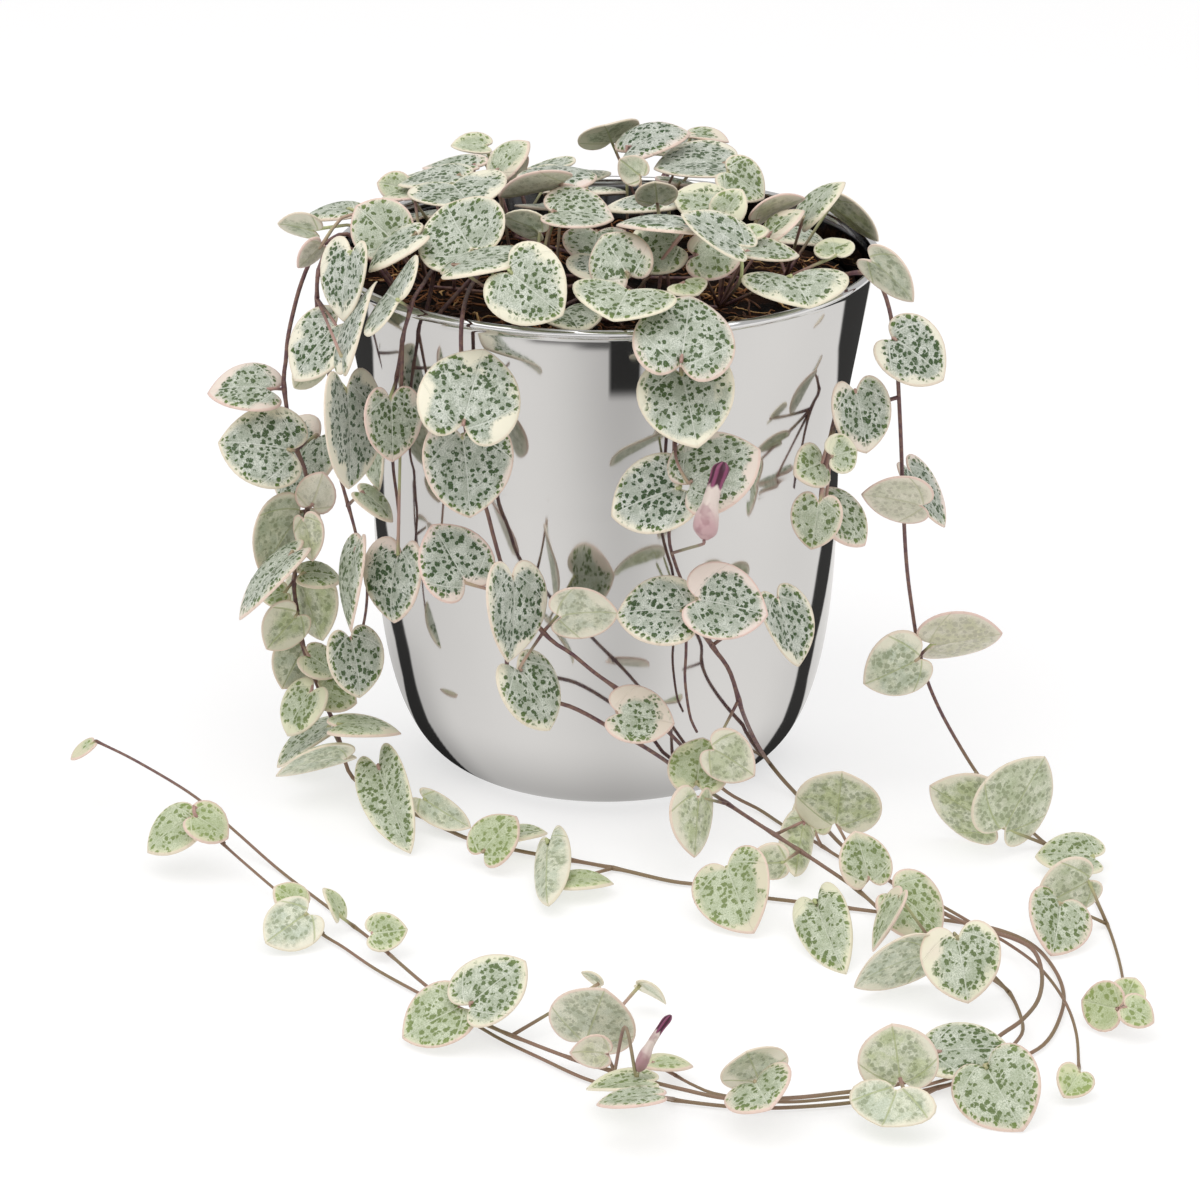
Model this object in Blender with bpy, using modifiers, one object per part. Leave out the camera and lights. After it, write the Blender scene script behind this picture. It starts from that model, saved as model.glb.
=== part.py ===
"""A variegated string of hearts, a trailing Ceropegia, in its polished metal pot.

Metres, +Z up. The origin is the middle of the pot's foot, on the surface that it stands on.
The photograph's viewpoint is in front (-Y) and looks along +Y and down. Stems and leaves are
read from it by eye: a place in the picture gives a line of sight, and each pick says what
that line meets: the floor, the pot's wall, a level over the rim, or a depth.
"""

import math
import random
from collections import namedtuple

import bmesh
import bpy
from mathutils import Vector
from mathutils.bvhtree import BVHTree

MM = 0.001

# The pot: a thin tapering wall that rounds into a narrow foot
RIM_RADIUS = 60.0 * MM
POT_HEIGHT = 118.0 * MM
BOWL_TOP = 76.8 * MM
BOWL_TOP_RADIUS = 51.9 * MM
FOOT_RADIUS = 23.4 * MM
BOWL_POWER = 3.2
WALL = 1.2 * MM
INSIDE_FLOOR = 1.8 * MM
LIP_RADIUS = 0.9 * MM
POT_STEPS = 36
BOWL_POINTS = 8
LIP_POINTS = 5

# The soil, and the holes that the stems stand in
SOIL_DROP = 10.0 * MM
SOIL_GAP = 0.3 * MM
SOIL_RELIEF = 0.8 * MM
SOIL_STEPS = 24
SOIL_RINGS = 3
HOLE_RADIUS = 1.5 * MM
HOLE_DEPTH = 9.0 * MM
SOIL_TOP = POT_HEIGHT - SOIL_DROP

# Stems, leaf stalks and leaves
STEM_RADIUS = 0.55 * MM
STEM_FINE = 2.0 * MM
STEM_SAG = 0.40 * MM
STEM_LONGEST = 10
STEM_LAY = 0.3 * MM
STEM_PITCH = 2.1 * MM
HUMP_PASSES = 3
HUMP_NEAR = 2.8 * MM
HUMP_TOP = 12.0 * MM
HUMP_FLAT = 4.5 * MM
HUMP_SLOPE = 0.22
STALK_RADIUS = 0.42 * MM
STALK_END = 0.16 * MM
STALK_RISE = 3.6 * MM
TIP_REST = 1.3 * MM
LONGEST_LEAF = 26.0 * MM
MOST_BREADTH = 1.8
MOST_ROLL = math.radians(35.0)
STALK_BOWS = (0.0, 5.0 * MM, 10.0 * MM, -3.0 * MM, 15.0 * MM)
BLADE_THICKNESS = 0.8 * MM
BLADE_CLEARANCE = 1.7 * MM
BLADE_FOLD = 0.13
BLADE_DROOP = 0.10
LEAF_WIDTH = 1.12
SPARE = 0.4 * MM
STALK_COST = 0.5
LEAST_TILT = 0.14
ROOT_RADIUS = 46.0 * MM

# The crown: leaves over a low dome of stems
DOME_EDGE = 4.0 * MM
DOME_RISE = 15.0 * MM
CROWN_LEAN = 0.15
VIEW_LEAN = 0.08
CROWN_SPOKES = 9
CROWN_REACH = 38.0 * MM
SPOKE_LIFT = 3.0 * MM
HIDDEN_LEAVES = 5
LOW_LEAVES = 13
LOW_DROP = 7.0 * MM
LOW_SHOWN = 3
RULE_TRIES = 900
SEED = 11

# The viewpoint, and the scale of a picture 1200 pixels wide
VIEW_DISTANCE = 0.900
VIEW_PITCH = math.radians(21.5)
VIEW_AIM = Vector((-1.2, 0.0, 35.5)) * MM
FOCAL_PIXELS = 3986.0
PICTURE_MIDDLE = 600.0

VIEW_FORWARD = Vector((0.0, math.cos(VIEW_PITCH), -math.sin(VIEW_PITCH)))
VIEW_RIGHT = Vector((1.0, 0.0, 0.0))
VIEW_UP = VIEW_RIGHT.cross(VIEW_FORWARD)
EYE = VIEW_AIM - VIEW_DISTANCE * VIEW_FORWARD

# A stem's pick: a pixel, what its line of sight meets, and a distance in millimetres
Pick = namedtuple("Pick", "x y rule value")
# A leaf's pick: the pixels of its notch and tip, its width there, and the face that shows
Leaf = namedtuple("Leaf", "x y tip_x tip_y width face", defaults=["top"])
Blade = namedtuple("Blade", "notch along across normal length breadth")
# A flower's pick: the pixels of its base and its tip, and its widest part in millimetres
Flower = namedtuple("Flower", "node x y end_x end_y width")
UNDER = "under"
FLAT = "flat"


def over(x, y, lift):
    """A point this many millimetres above the rim."""
    return Pick(x, y, "over", lift)


def wall(x, y, gap):
    """A point this many millimetres off the pot's wall."""
    return Pick(x, y, "wall", gap)


def out(x, y, depth):
    """A free-hanging point at this depth along Y."""
    return Pick(x, y, "out", depth)


def up(x, y, height):
    """A point at this height over the floor."""
    return Pick(x, y, "up", height)


def free(x, y):
    """A point whose depth lies between those of its neighbours."""
    return Pick(x, y, "free", 0.0)


def lying(*places):
    """Points of a stem that lies on the floor."""
    return [Pick(x, y, "floor", 0.0) for x, y in places]


LEFT_LONG = [
    over(347, 234, 3.5), over(326, 243, 2.5), out(312, 258, -5), free(301, 284), free(294, 309),
    free(288, 337), out(286, 359, -10), free(284, 387), free(293, 440), free(305, 470),
    free(308, 504), out(303, 526, -15), free(298, 554), free(294, 583), free(296, 605),
    free(299, 627), free(305, 653), out(314, 677, -20), free(325, 703), free(335, 726),
    free(343, 754), up(350, 774, 1.5),
] + lying(
    (364, 787), (389, 803), (424, 818), (469, 839), (520, 851), (565, 859), (618, 869), (670, 881),
    (709, 886), (744, 895), (808, 903), (871, 911), (951, 921), (999, 930), (1034, 946),
    (1056, 972), (1064, 997), (1059, 1020), (1048, 1040), (1031, 1053), (994, 1069), (941, 1087),
    (887, 1096), (839, 1104), (757, 1108), (681, 1101), (630, 1091), (586, 1079), (540, 1058),
    (502, 1040), (476, 1025), (424, 996), (377, 970), (343, 947), (321, 933), (301, 911),
) + [up(264, 880, 3), up(220, 841, 6), up(197, 815, 8)]

LEFT_LONG_LEAVES = [
    Leaf(271, 389, 208, 385, 46),
    Leaf(292, 450, 219, 437, 80),
    Leaf(317, 434, 271, 493, 62),
    Leaf(298, 512, 256, 571, 58, UNDER),
    Leaf(312, 505, 325, 472, 40, UNDER),
    Leaf(306, 520, 318, 560, 28, UNDER),
    Leaf(293, 552, 231, 611, 24),
    Leaf(303, 582, 325, 640, 48, UNDER),
    Leaf(303, 573, 342, 574, 26),
    Leaf(285, 592, 262, 600, 26),
    Leaf(296, 615, 265, 648, 44, UNDER),
    Leaf(302, 648, 280, 688, 44, UNDER),
    Leaf(308, 655, 338, 675, 34),
    Leaf(312, 690, 283, 733, 40),
    Leaf(322, 690, 358, 700, 38),
    Leaf(338, 724, 401, 723, 22),
    Leaf(330, 727, 273, 760, 22),
    Leaf(343, 752, 274, 764, 20, UNDER),
    Leaf(378, 766, 405, 846, 44),
    Leaf(424, 800, 471, 832, 26, UNDER),
    Leaf(483, 852, 514, 814, 46),
    Leaf(503, 838, 546, 827, 16),
    Leaf(548, 840, 552, 909, 34, UNDER),
    Leaf(567, 881, 613, 876, 18),
    Leaf(728, 868, 749, 930, 66),
    Leaf(815, 900, 838, 965, 46),
    Leaf(900, 1080, 895, 1021, 78, UNDER),
    Leaf(897, 1092, 882, 1131, 88, UNDER),
    Leaf(937, 1052, 1012, 1045, 54),
    Leaf(985, 1065, 1020, 1125, 74),
    Leaf(648, 1084, 586, 1085, 20),
    Leaf(656, 1096, 596, 1099, 18),
    Leaf(307, 914, 264, 944, 46, UNDER),
    Leaf(300, 905, 276, 884, 32),
    Leaf(190, 819, 144, 846, 42),
    Leaf(195, 816, 230, 836, 40),
]

FRONT_LEFT = [
    over(480, 270, 1), over(469, 290, 1.5), over(463, 312, 2), wall(461, 336, 2), wall(462, 370, 2),
    wall(465, 420, 2), wall(474, 470, 2), wall(487, 511, 2), wall(494, 538, 3), wall(505, 574, 4),
    wall(524, 608, 6), wall(550, 639, 7), wall(572, 654, 7), wall(595, 673, 7), wall(631, 699, 6),
    wall(666, 730, 5), wall(681, 745, 5), up(723, 789, 4),
] + lying(
    (760, 810), (786, 827), (817, 843), (839, 857), (871, 873), (903, 887), (940, 905), (975, 925),
    (1010, 945), (1040, 968), (1064, 1000), (1076, 1032), (1079, 1068),
)
FRONT_LEFT_BRANCH = [
    wall(505, 574, 4), wall(507, 600, 3), wall(507, 640, 3), wall(508, 676, 4), wall(520, 695, 5),
    wall(569, 706, 5), wall(616, 731, 5), wall(654, 753, 4), up(700, 785, 4),
] + lying(
    (740, 812), (780, 838), (820, 864), (860, 892), (900, 928), (940, 951), (969, 961), (994, 980),
    (1008, 991), (1018, 1009), (1023, 1029), (1016, 1042), (1000, 1056), (960, 1075), (900, 1091),
    (839, 1098), (780, 1102), (721, 1095), (693, 1085), (663, 1068),
)
FRONT_LEFT_LEAVES = [
    Leaf(463, 425, 483, 343, 100),
    Leaf(462, 435, 472, 518, 88),
    Leaf(466, 583, 432, 524, 72),
    Leaf(512, 576, 517, 662, 56),
    Leaf(560, 613, 618, 606, 50, UNDER),
    Leaf(520, 667, 556, 727, 58),
    Leaf(617, 713, 675, 722, 56),
    Leaf(697, 784, 702, 734, 60),
    Leaf(697, 797, 690, 857, 42, UNDER),
    Leaf(815, 832, 800, 797, 36),
    Leaf(803, 822, 790, 880, 30, UNDER),
    Leaf(868, 879, 858, 830, 50),
    Leaf(783, 862, 747, 862, 36, UNDER),
    Leaf(895, 892, 944, 930, 62),
    Leaf(901, 899, 870, 950, 18),
    Leaf(925, 950, 850, 975, 42, UNDER),
    Leaf(957, 936, 970, 1000, 78),
    Leaf(1079, 1073, 1065, 1096, 38),
    Leaf(652, 1063, 693, 1061, 16),
    Leaf(757, 1075, 745, 1044, 68, UNDER),
    Leaf(755, 1082, 768, 1103, 72),
]

FRONT_MIDDLE = [
    over(694, 285, 2), over(690, 304, 2.5), over(687, 322, 2.5), wall(684, 345, 3), wall(680, 380, 3),
    wall(676, 430, 3), wall(672, 480, 3), wall(669, 536, 3), wall(675, 563, 3), wall(682, 583, 3),
    wall(686, 611, 4), wall(686, 653, 4), wall(685, 680, 4), wall(690, 716, 4), wall(697, 732, 4),
]
FRONT_MIDDLE_BRANCH = [
    wall(686, 611, 4), wall(699, 626, 5), wall(715, 650, 6), wall(730, 672, 7), wall(744, 716, 8),
    up(760, 749, 7), up(779, 775, 3),
] + lying(
    (798, 796), (823, 825), (845, 848), (880, 874), (916, 898), (969, 925), (1012, 938), (1034, 951),
    (1042, 975), (1038, 1000), (1022, 1020), (1002, 1034), (978, 1052), (940, 1071), (890, 1086),
    (839, 1093), (790, 1098), (732, 1099), (681, 1089), (630, 1076), (579, 1061), (528, 1042),
    (484, 1023), (433, 991), (377, 944), (321, 902), (278, 869),
) + [up(236, 832, 4), up(194, 796, 8), up(138, 762, 12), up(96, 741, 15)]
FRONT_MIDDLE_LEAVES = [
    Leaf(681, 362, 693, 287, 100),
    Leaf(681, 372, 700, 442, 95),
    Leaf(681, 487, 609, 510, 76),
    Leaf(688, 483, 756, 442, 78),
    Leaf(685, 611, 616, 608, 68),
    Leaf(697, 600, 769, 611, 74),
    Leaf(775, 600, 803, 665, 46),
    Leaf(714, 748, 757, 772, 50, UNDER),
    Leaf(836, 822, 844, 767, 84, UNDER),
    Leaf(340, 916, 328, 886, 16),
    Leaf(372, 934, 408, 930, 38),
    Leaf(460, 1008, 401, 1035, 60),
    Leaf(470, 1005, 525, 960, 64),
    Leaf(587, 1038, 606, 985, 86, UNDER),
    Leaf(606, 1052, 570, 1048, 32, UNDER),
    Leaf(600, 983, 584, 969, 9, UNDER),
    Leaf(641, 984, 669, 998, 10, UNDER),
    Leaf(92, 744, 70, 758, 12),
]

LEFT_INNER = [
    over(338, 244, 3.5), over(326, 252, 3), out(318, 274, -25), free(317, 300), out(318, 330, -20),
    free(325, 352), free(329, 370), out(331, 400, -21), free(333, 451), free(343, 487),
    out(354, 526, -27), free(362, 560), out(367, 583, -30), free(366, 610), out(361, 636, -30),
]
LEFT_INNER_LEAVES = [
    Leaf(351, 251, 336, 320, 44),
    Leaf(336, 325, 290, 377, 56),
    Leaf(318, 362, 292, 386, 30, UNDER),
    Leaf(343, 360, 364, 278, 16),
    Leaf(345, 388, 358, 488, 58),
    Leaf(362, 492, 396, 518, 22),
    Leaf(356, 548, 340, 631, 20),
    Leaf(350, 638, 364, 697, 54),
    Leaf(375, 437, 376, 491, 22),
]

LEFT_WALL = [
    over(434, 271, 2), over(422, 286, 2.5), over(413, 300, 2.5), wall(408, 318, 3), wall(404, 332, 2),
    wall(400, 357, 2), wall(394, 397, 2), wall(393, 430, 2), wall(393, 465, 2), wall(397, 498, 2),
    wall(399, 521, 2), wall(397, 547, 2),
]
LEFT_WALL_LEAVES = [
    Leaf(398, 300, 380, 288, 92),
    Leaf(390, 398, 393, 462, 56),
    Leaf(398, 551, 386, 622, 56),
]

RIGHT_OUTER = [
    over(864, 272, 3), out(880, 284, -25), free(890, 312), free(894, 343), free(897, 364),
    out(899, 399, -26), free(901, 442), free(903, 498), free(906, 557), out(911, 601, -27),
    free(921, 660), out(937, 704, -26), up(961, 748, 9), up(984, 783, 2),
] + lying(
    (1011, 813), (1040, 839), (1075, 873), (1091, 892), (1107, 924), (1117, 953), (1123, 981),
    (1123, 1004),
)
RIGHT_OUTER_BRANCH = [
    out(899, 399, -26), free(885, 400), free(868, 402), wall(850, 404, 4), wall(836, 417, 3),
    wall(829, 442, 3), wall(825, 462, 3), wall(822, 481, 3), wall(820, 497, 3),
]
RIGHT_OUTER_LEAVES = [
    Leaf(873, 258, 919, 295, 36, UNDER),
    Leaf(893, 338, 948, 374, 64),
    Leaf(855, 390, 869, 453, 58),
    Leaf(822, 462, 799, 472, 46),
    Leaf(832, 456, 859, 448, 40),
    Leaf(820, 502, 812, 550, 50),
    Leaf(826, 502, 870, 540, 44),
    Leaf(921, 503, 863, 488, 44, UNDER),
    Leaf(908, 470, 949, 524, 28),
    Leaf(932, 644, 1001, 628, 44, UNDER),
    Leaf(918, 659, 863, 683, 60, UNDER),
    Leaf(993, 824, 934, 780, 62, UNDER),
    Leaf(1003, 827, 1040, 754, 68, UNDER),
    Leaf(1094, 857, 1036, 850, 40),
    Leaf(1088, 880, 1034, 905, 50, UNDER),
    Leaf(1060, 903, 1055, 952, 60),
    Leaf(1117, 1009, 1080, 1000, 50),
    Leaf(1124, 1003, 1135, 976, 36),
    Leaf(1126, 1007, 1155, 1020, 32),
]

CROWN_LEAVES = [
    Leaf(486, 147, 451, 143, 20),
    Leaf(497, 171, 525, 138, 30),
    Leaf(474, 166, 421, 163, 27, FLAT),
    Leaf(460, 176, 397, 178, 28, FLAT),
    Leaf(404, 188, 377, 182, 30),
    Leaf(414, 194, 380, 193, 20, FLAT),
    Leaf(452, 186, 474, 205, 94, FLAT),
    Leaf(350, 209, 300, 211, 26, FLAT),
    Leaf(315, 230, 279, 219, 24, UNDER),
    Leaf(320, 247, 296, 266, 20, UNDER),
    Leaf(394, 241, 356, 204, 62),
    Leaf(473, 251, 441, 202, 92),
    Leaf(416, 234, 364, 264, 26),
    Leaf(455, 266, 543, 241, 20),
    Leaf(509, 271, 560, 312, 82),
    Leaf(552, 182, 568, 158, 76, FLAT),
    Leaf(562, 184, 498, 191, 20, UNDER),
    Leaf(553, 212, 614, 212, 48, FLAT),
    Leaf(505, 173, 528, 156, 24, UNDER),
    Leaf(628, 275, 600, 231, 64),
    Leaf(629, 291, 612, 316, 100, FLAT),
    Leaf(676, 243, 622, 252, 54),
    Leaf(695, 255, 742, 258, 46),
    Leaf(683, 283, 698, 292, 68, FLAT),
    Leaf(723, 217, 740, 188, 36),
    Leaf(722, 210, 674, 192, 42),
    Leaf(726, 164, 654, 160, 48, FLAT),
    Leaf(716, 148, 650, 144, 24, FLAT),
    Leaf(728, 172, 766, 196, 42),
    Leaf(627, 148, 686, 123, 32),
    Leaf(692, 135, 729, 139, 18, FLAT),
    Leaf(611, 140, 604, 118, 62, UNDER),
    Leaf(657, 201, 655, 178, 42, UNDER),
    Leaf(670, 203, 603, 203, 22, FLAT),
    Leaf(688, 226, 618, 214, 14),
    Leaf(740, 248, 684, 210, 36),
    Leaf(747, 252, 800, 252, 28, FLAT),
    Leaf(790, 276, 808, 301, 122, FLAT),
    Leaf(835, 256, 833, 236, 40),
    Leaf(803, 219, 837, 176, 24),
    Leaf(758, 217, 801, 191, 18, UNDER),
    Leaf(770, 234, 800, 206, 22),
    Leaf(746, 233, 769, 228, 16),
    Leaf(832, 204, 882, 236, 22, UNDER),
    Leaf(640, 176, 620, 158, 30, UNDER),
    Leaf(540, 230, 504, 212, 26, UNDER),
]

FLOWERS = {
    "strand_front_middle": [
        Flower("flower_upper", 704, 540, 724, 462, 5.2),
        Flower("flower_lower", 638, 1072, 671, 1015, 2.4),
    ],
    "strand_right_outer": [Flower("flower_bud", 970, 796, 993, 818, 2.6)],
}
FLOWER_SHOWN = 0.7
FLOWER_FORM = [(0.0, 0.35), (0.10, 0.95), (0.28, 0.95), (0.44, 0.66), (0.70, 0.64), (0.90, 0.70), (1.0, 0.4)]

# Where the picture shows bare soil: left, top, right and bottom pixels
BARE_SOIL = [(395, 272, 505, 330), (690, 262, 870, 330)]

BACK_STRANDS = {"strand_back_left": (112.0, 74.0 * MM), "strand_back_right": (76.0, 62.0 * MM)}
BACK_STEP = 11.0 * MM
BACK_WAVE = 4.0 * MM
BACK_LEAF = 15.0 * MM

LEAF_GREEN = (0.47, 0.56, 0.47, 1.0)
MAUVE = (0.42, 0.22, 0.33, 1.0)
STEEL = (0.80, 0.80, 0.81, 1.0)
SOIL_BROWN = (0.060, 0.035, 0.020, 1.0)


def sight(x, y):
    """The direction in which the viewpoint sees this pixel."""
    ahead = FOCAL_PIXELS * VIEW_FORWARD
    aside = (x - PICTURE_MIDDLE) * VIEW_RIGHT + (PICTURE_MIDDLE - y) * VIEW_UP
    return (ahead + aside).normalized()


def pixel_of(point):
    """The pixel where the viewpoint sees this point."""
    ray = point - EYE
    scale = FOCAL_PIXELS / ray.dot(VIEW_FORWARD)
    return (PICTURE_MIDDLE + scale * ray.dot(VIEW_RIGHT), PICTURE_MIDDLE - scale * ray.dot(VIEW_UP))


def at_height(x, y, height):
    ray = sight(x, y)
    return EYE + ray * ((height - EYE.z) / ray.z)


def at_depth(x, y, depth):
    ray = sight(x, y)
    return EYE + ray * ((depth - EYE.y) / ray.y)


def wall_radius(height):
    """The radius of the pot's outside at this height."""
    if height >= BOWL_TOP:
        share = (height - BOWL_TOP) / (POT_HEIGHT - BOWL_TOP)
        return BOWL_TOP_RADIUS + share * (RIM_RADIUS - LIP_RADIUS - BOWL_TOP_RADIUS)
    drop = min(1.0, 1.0 - max(height, 0.0) / BOWL_TOP)
    across = (1.0 - drop**BOWL_POWER) ** (1.0 / BOWL_POWER)
    return FOOT_RADIUS + (BOWL_TOP_RADIUS - FOOT_RADIUS) * across


def from_axis(point):
    return math.hypot(point.x, point.y)


def at_wall(x, y, gap):
    """The first point of the sight line this far off the wall, or else its nearest point to it."""
    ray = sight(x, y)
    near = VIEW_DISTANCE - 2.0 * RIM_RADIUS
    steps = 800
    best = None
    for step in range(steps):
        point = EYE + ray * (near + 3.0 * RIM_RADIUS * step / steps)
        off = from_axis(point) - wall_radius(min(point.z, POT_HEIGHT)) - gap
        if off <= 0.0:
            return point
        if best is None or off < best[0]:
            best = (off, point)
    return best[1]


def dome_height(point):
    """The height of the crown's surface of leaves above a point's place in plan."""
    share = (from_axis(point) / RIM_RADIUS) ** 2
    return POT_HEIGHT + DOME_EDGE + DOME_RISE * (1.0 - share)


def at_dome(x, y):
    ray = sight(x, y)
    steps = 600
    near = VIEW_DISTANCE - 2.5 * RIM_RADIUS
    best = None
    for step in range(steps):
        point = EYE + ray * (near + 4.0 * RIM_RADIUS * step / steps)
        over_dome = point.z - dome_height(point)
        if over_dome <= 0.0:
            return point
        if best is None or over_dome < best[0]:
            best = (over_dome, point)
    return best[1]


def placed(pick):
    """The point that a pick names, or None where its neighbours settle the depth."""
    if pick.rule == "over":
        return at_height(pick.x, pick.y, POT_HEIGHT + pick.value * MM)
    if pick.rule == "wall":
        return at_wall(pick.x, pick.y, pick.value * MM + STEM_RADIUS)
    if pick.rule == "out":
        return at_depth(pick.x, pick.y, pick.value * MM)
    if pick.rule == "up":
        return at_height(pick.x, pick.y, pick.value * MM + STEM_RADIUS)
    if pick.rule == "floor":
        return at_height(pick.x, pick.y, STEM_LAY + STEM_RADIUS)
    return None


def route(picks):
    """The points of a stem's picks. A free pick takes the depth between its neighbours."""
    points = [placed(pick) for pick in picks]
    for index, pick in enumerate(picks):
        if points[index] is not None:
            continue
        before = max(i for i in range(index) if picks[i].rule != "free")
        after = min(i for i in range(index, len(picks)) if picks[i].rule != "free")
        share = (index - before) / (after - before)
        depth = points[before].y + share * (points[after].y - points[before].y)
        points[index] = at_depth(pick.x, pick.y, depth)
    return points


def rooted(points):
    """The same stem, starting in its hole in the soil and rising to the rim."""
    first = points[0]
    turn = math.atan2(first.y, first.x)
    aim = Vector((math.cos(turn), math.sin(turn), 0.0))
    low = aim * ROOT_RADIUS
    start = [
        low + Vector((0.0, 0.0, SOIL_TOP - 0.7 * HOLE_DEPTH)),
        low + Vector((0.0, 0.0, SOIL_TOP - 0.1 * HOLE_DEPTH)),
        low + Vector((0.0, 0.0, SOIL_TOP + 1.5 * MM)),
    ]
    if from_axis(first) > ROOT_RADIUS + 9.0 * MM:
        start.append(aim * (ROOT_RADIUS + 5.0 * MM) + Vector((0.0, 0.0, POT_HEIGHT - 1.0 * MM)))
    return start + points


def smooth_path(points, step):
    """Points about a step apart along a Catmull-Rom curve through the given ones."""
    ends = [2.0 * points[0] - points[1]] + points + [2.0 * points[-1] - points[-2]]
    fine = []
    for a, b, c, d in zip(ends, ends[1:], ends[2:], ends[3:]):
        for part in range(8):
            t = part / 8.0
            cubic = -a + 3.0 * b - 3.0 * c + d
            square = 2.0 * a - 5.0 * b + 4.0 * c - d
            fine.append(0.5 * (2.0 * b + (c - a) * t + square * t * t + cubic * t**3))
    fine.append(points[-1])
    lengths = [0.0]
    for a, b in zip(fine, fine[1:]):
        lengths.append(lengths[-1] + (b - a).length)
    count = max(2, round(lengths[-1] / step))
    path = []
    index = 0
    for number in range(count + 1):
        want = lengths[-1] * number / count
        while index < len(fine) - 2 and lengths[index + 1] < want:
            index += 1
        span = max(lengths[index + 1] - lengths[index], 1e-9)
        path.append(fine[index].lerp(fine[index + 1], (want - lengths[index]) / span))
    return path


def strays(path, first, last):
    """How far the points between two others lie from the line that joins them."""
    line = (path[last] - path[first]).normalized()
    offs = [p - path[first] for p in path[first + 1 : last]]
    return max([(off - line * off.dot(line)).length for off in offs], default=0.0)


def thinned(path):
    """The path with fewer points where it runs straight."""
    kept = [path[0]]
    index = 0
    while index < len(path) - 1:
        ahead = index + 1
        for trial in range(index + 2, min(index + STEM_LONGEST, len(path) - 1) + 1):
            if strays(path, index, trial) < STEM_SAG:
                ahead = trial
        kept.append(path[ahead])
        index = ahead
    return kept


def clear_of_pot(point, gap):
    """The point, moved towards the viewpoint until it is this far from the pot."""
    to_eye = (EYE - point).normalized()
    for _ in range(60):
        if point.z > POT_HEIGHT + gap or from_axis(point) > wall_radius(point.z) + gap:
            return point
        if from_axis(point) < RIM_RADIUS - WALL - LIP_RADIUS - gap and point.z > SOIL_TOP:
            return point
        point = point + to_eye * 0.5 * MM
    return point


def hump(path, laid):
    """The path, raised where it lies over stems laid before it, in long low humps."""
    crossings = []
    for point in path:
        near = [o.z for o in laid if (o.xy - point.xy).length < HUMP_NEAR]
        under = [z for z in near if z < HUMP_TOP]
        if under and point.z < max(under) + STEM_PITCH:
            crossings.append((max(under) + STEM_PITCH, point))
    raised = []
    for point in path:
        falls = [
            top - HUMP_SLOPE * max(0.0, (p - point).length - HUMP_FLAT) for top, p in crossings
        ]
        height = max([point.z] + falls)
        raised.append(at_height(*pixel_of(point), height) if height > point.z else point)
    return raised


def leaf_outline(notch):
    """The heart's outline from notch round to notch, along and across, in leaf lengths."""
    half = LEAF_WIDTH / 2.0
    side = [(0.0, notch), (-0.17, 0.52 * half), (0.22, 1.05 * half), (0.76, 0.74 * half)]
    other = [(u, -v) for u, v in reversed(side)]
    return side + [(1.0, 0.0)] + other


def on_blade(blade, u, v, lift=0.0):
    """A point of the leaf, folded up along its midrib and drooping to its tip."""
    rise = (BLADE_FOLD * abs(v) - BLADE_DROOP * u * u) * blade.length + lift
    place = blade.notch + blade.along * (u * blade.length) + blade.across * (v * blade.breadth)
    return place + blade.normal * rise


def blade_shape(blade, thickness, stalk=()):
    """Corners and faces of a leaf, split into triangles alike on both faces.

    A stalk, as points from the notch to the stem, grows from the short edge in the notch.
    """
    rim = leaf_outline(STALK_RADIUS / blade.breadth)
    middle = (0.36, 0.0)
    corners = []
    for lift in (thickness / 2.0, -thickness / 2.0):
        corners += [on_blade(blade, u, v, lift) for u, v in [middle] + rim]
    count = len(rim)
    low = count + 1
    faces = []
    for i in range(count):
        a = 1 + i
        b = 1 + (i + 1) % count
        faces.append((0, b, a))
        faces.append((low, low + a, low + b))
        if i < count - 1 or not stalk:
            faces += wall_faces(a, b, low + b, low + a)
    if stalk:
        grow_stalk(corners, faces, [1, count, low + count, low + 1], blade, stalk)
    return corners, faces


def wall_faces(a, b, c, d):
    return [(a, b, c), (a, c, d)]


def grow_stalk(corners, faces, ring, blade, stalk):
    """Adds a four-sided stalk from a ring of corners in the notch, turned without a twist."""
    heading = -blade.along
    side = blade.across
    above = blade.normal
    for index in range(1, len(stalk)):
        before = (stalk[index] - stalk[index - 1]).normalized()
        after = (stalk[min(index + 1, len(stalk) - 1)] - stalk[index]).normalized()
        aim = (before + after).normalized()
        turn = heading.rotation_difference(aim)
        side = turn @ side
        above = turn @ above
        heading = aim
        first = len(corners)
        half = STALK_END if index == len(stalk) - 1 else STALK_RADIUS
        for across, rise in ((1, 1), (-1, 1), (-1, -1), (1, -1)):
            corners.append(stalk[index] + half * (across * side + rise * above))
        fresh = [first, first + 1, first + 2, first + 3]
        for k in range(4):
            faces += wall_faces(ring[k], fresh[k], fresh[(k + 1) % 4], ring[(k + 1) % 4])
        ring = fresh
    faces += wall_faces(*ring[::-1])


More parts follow.
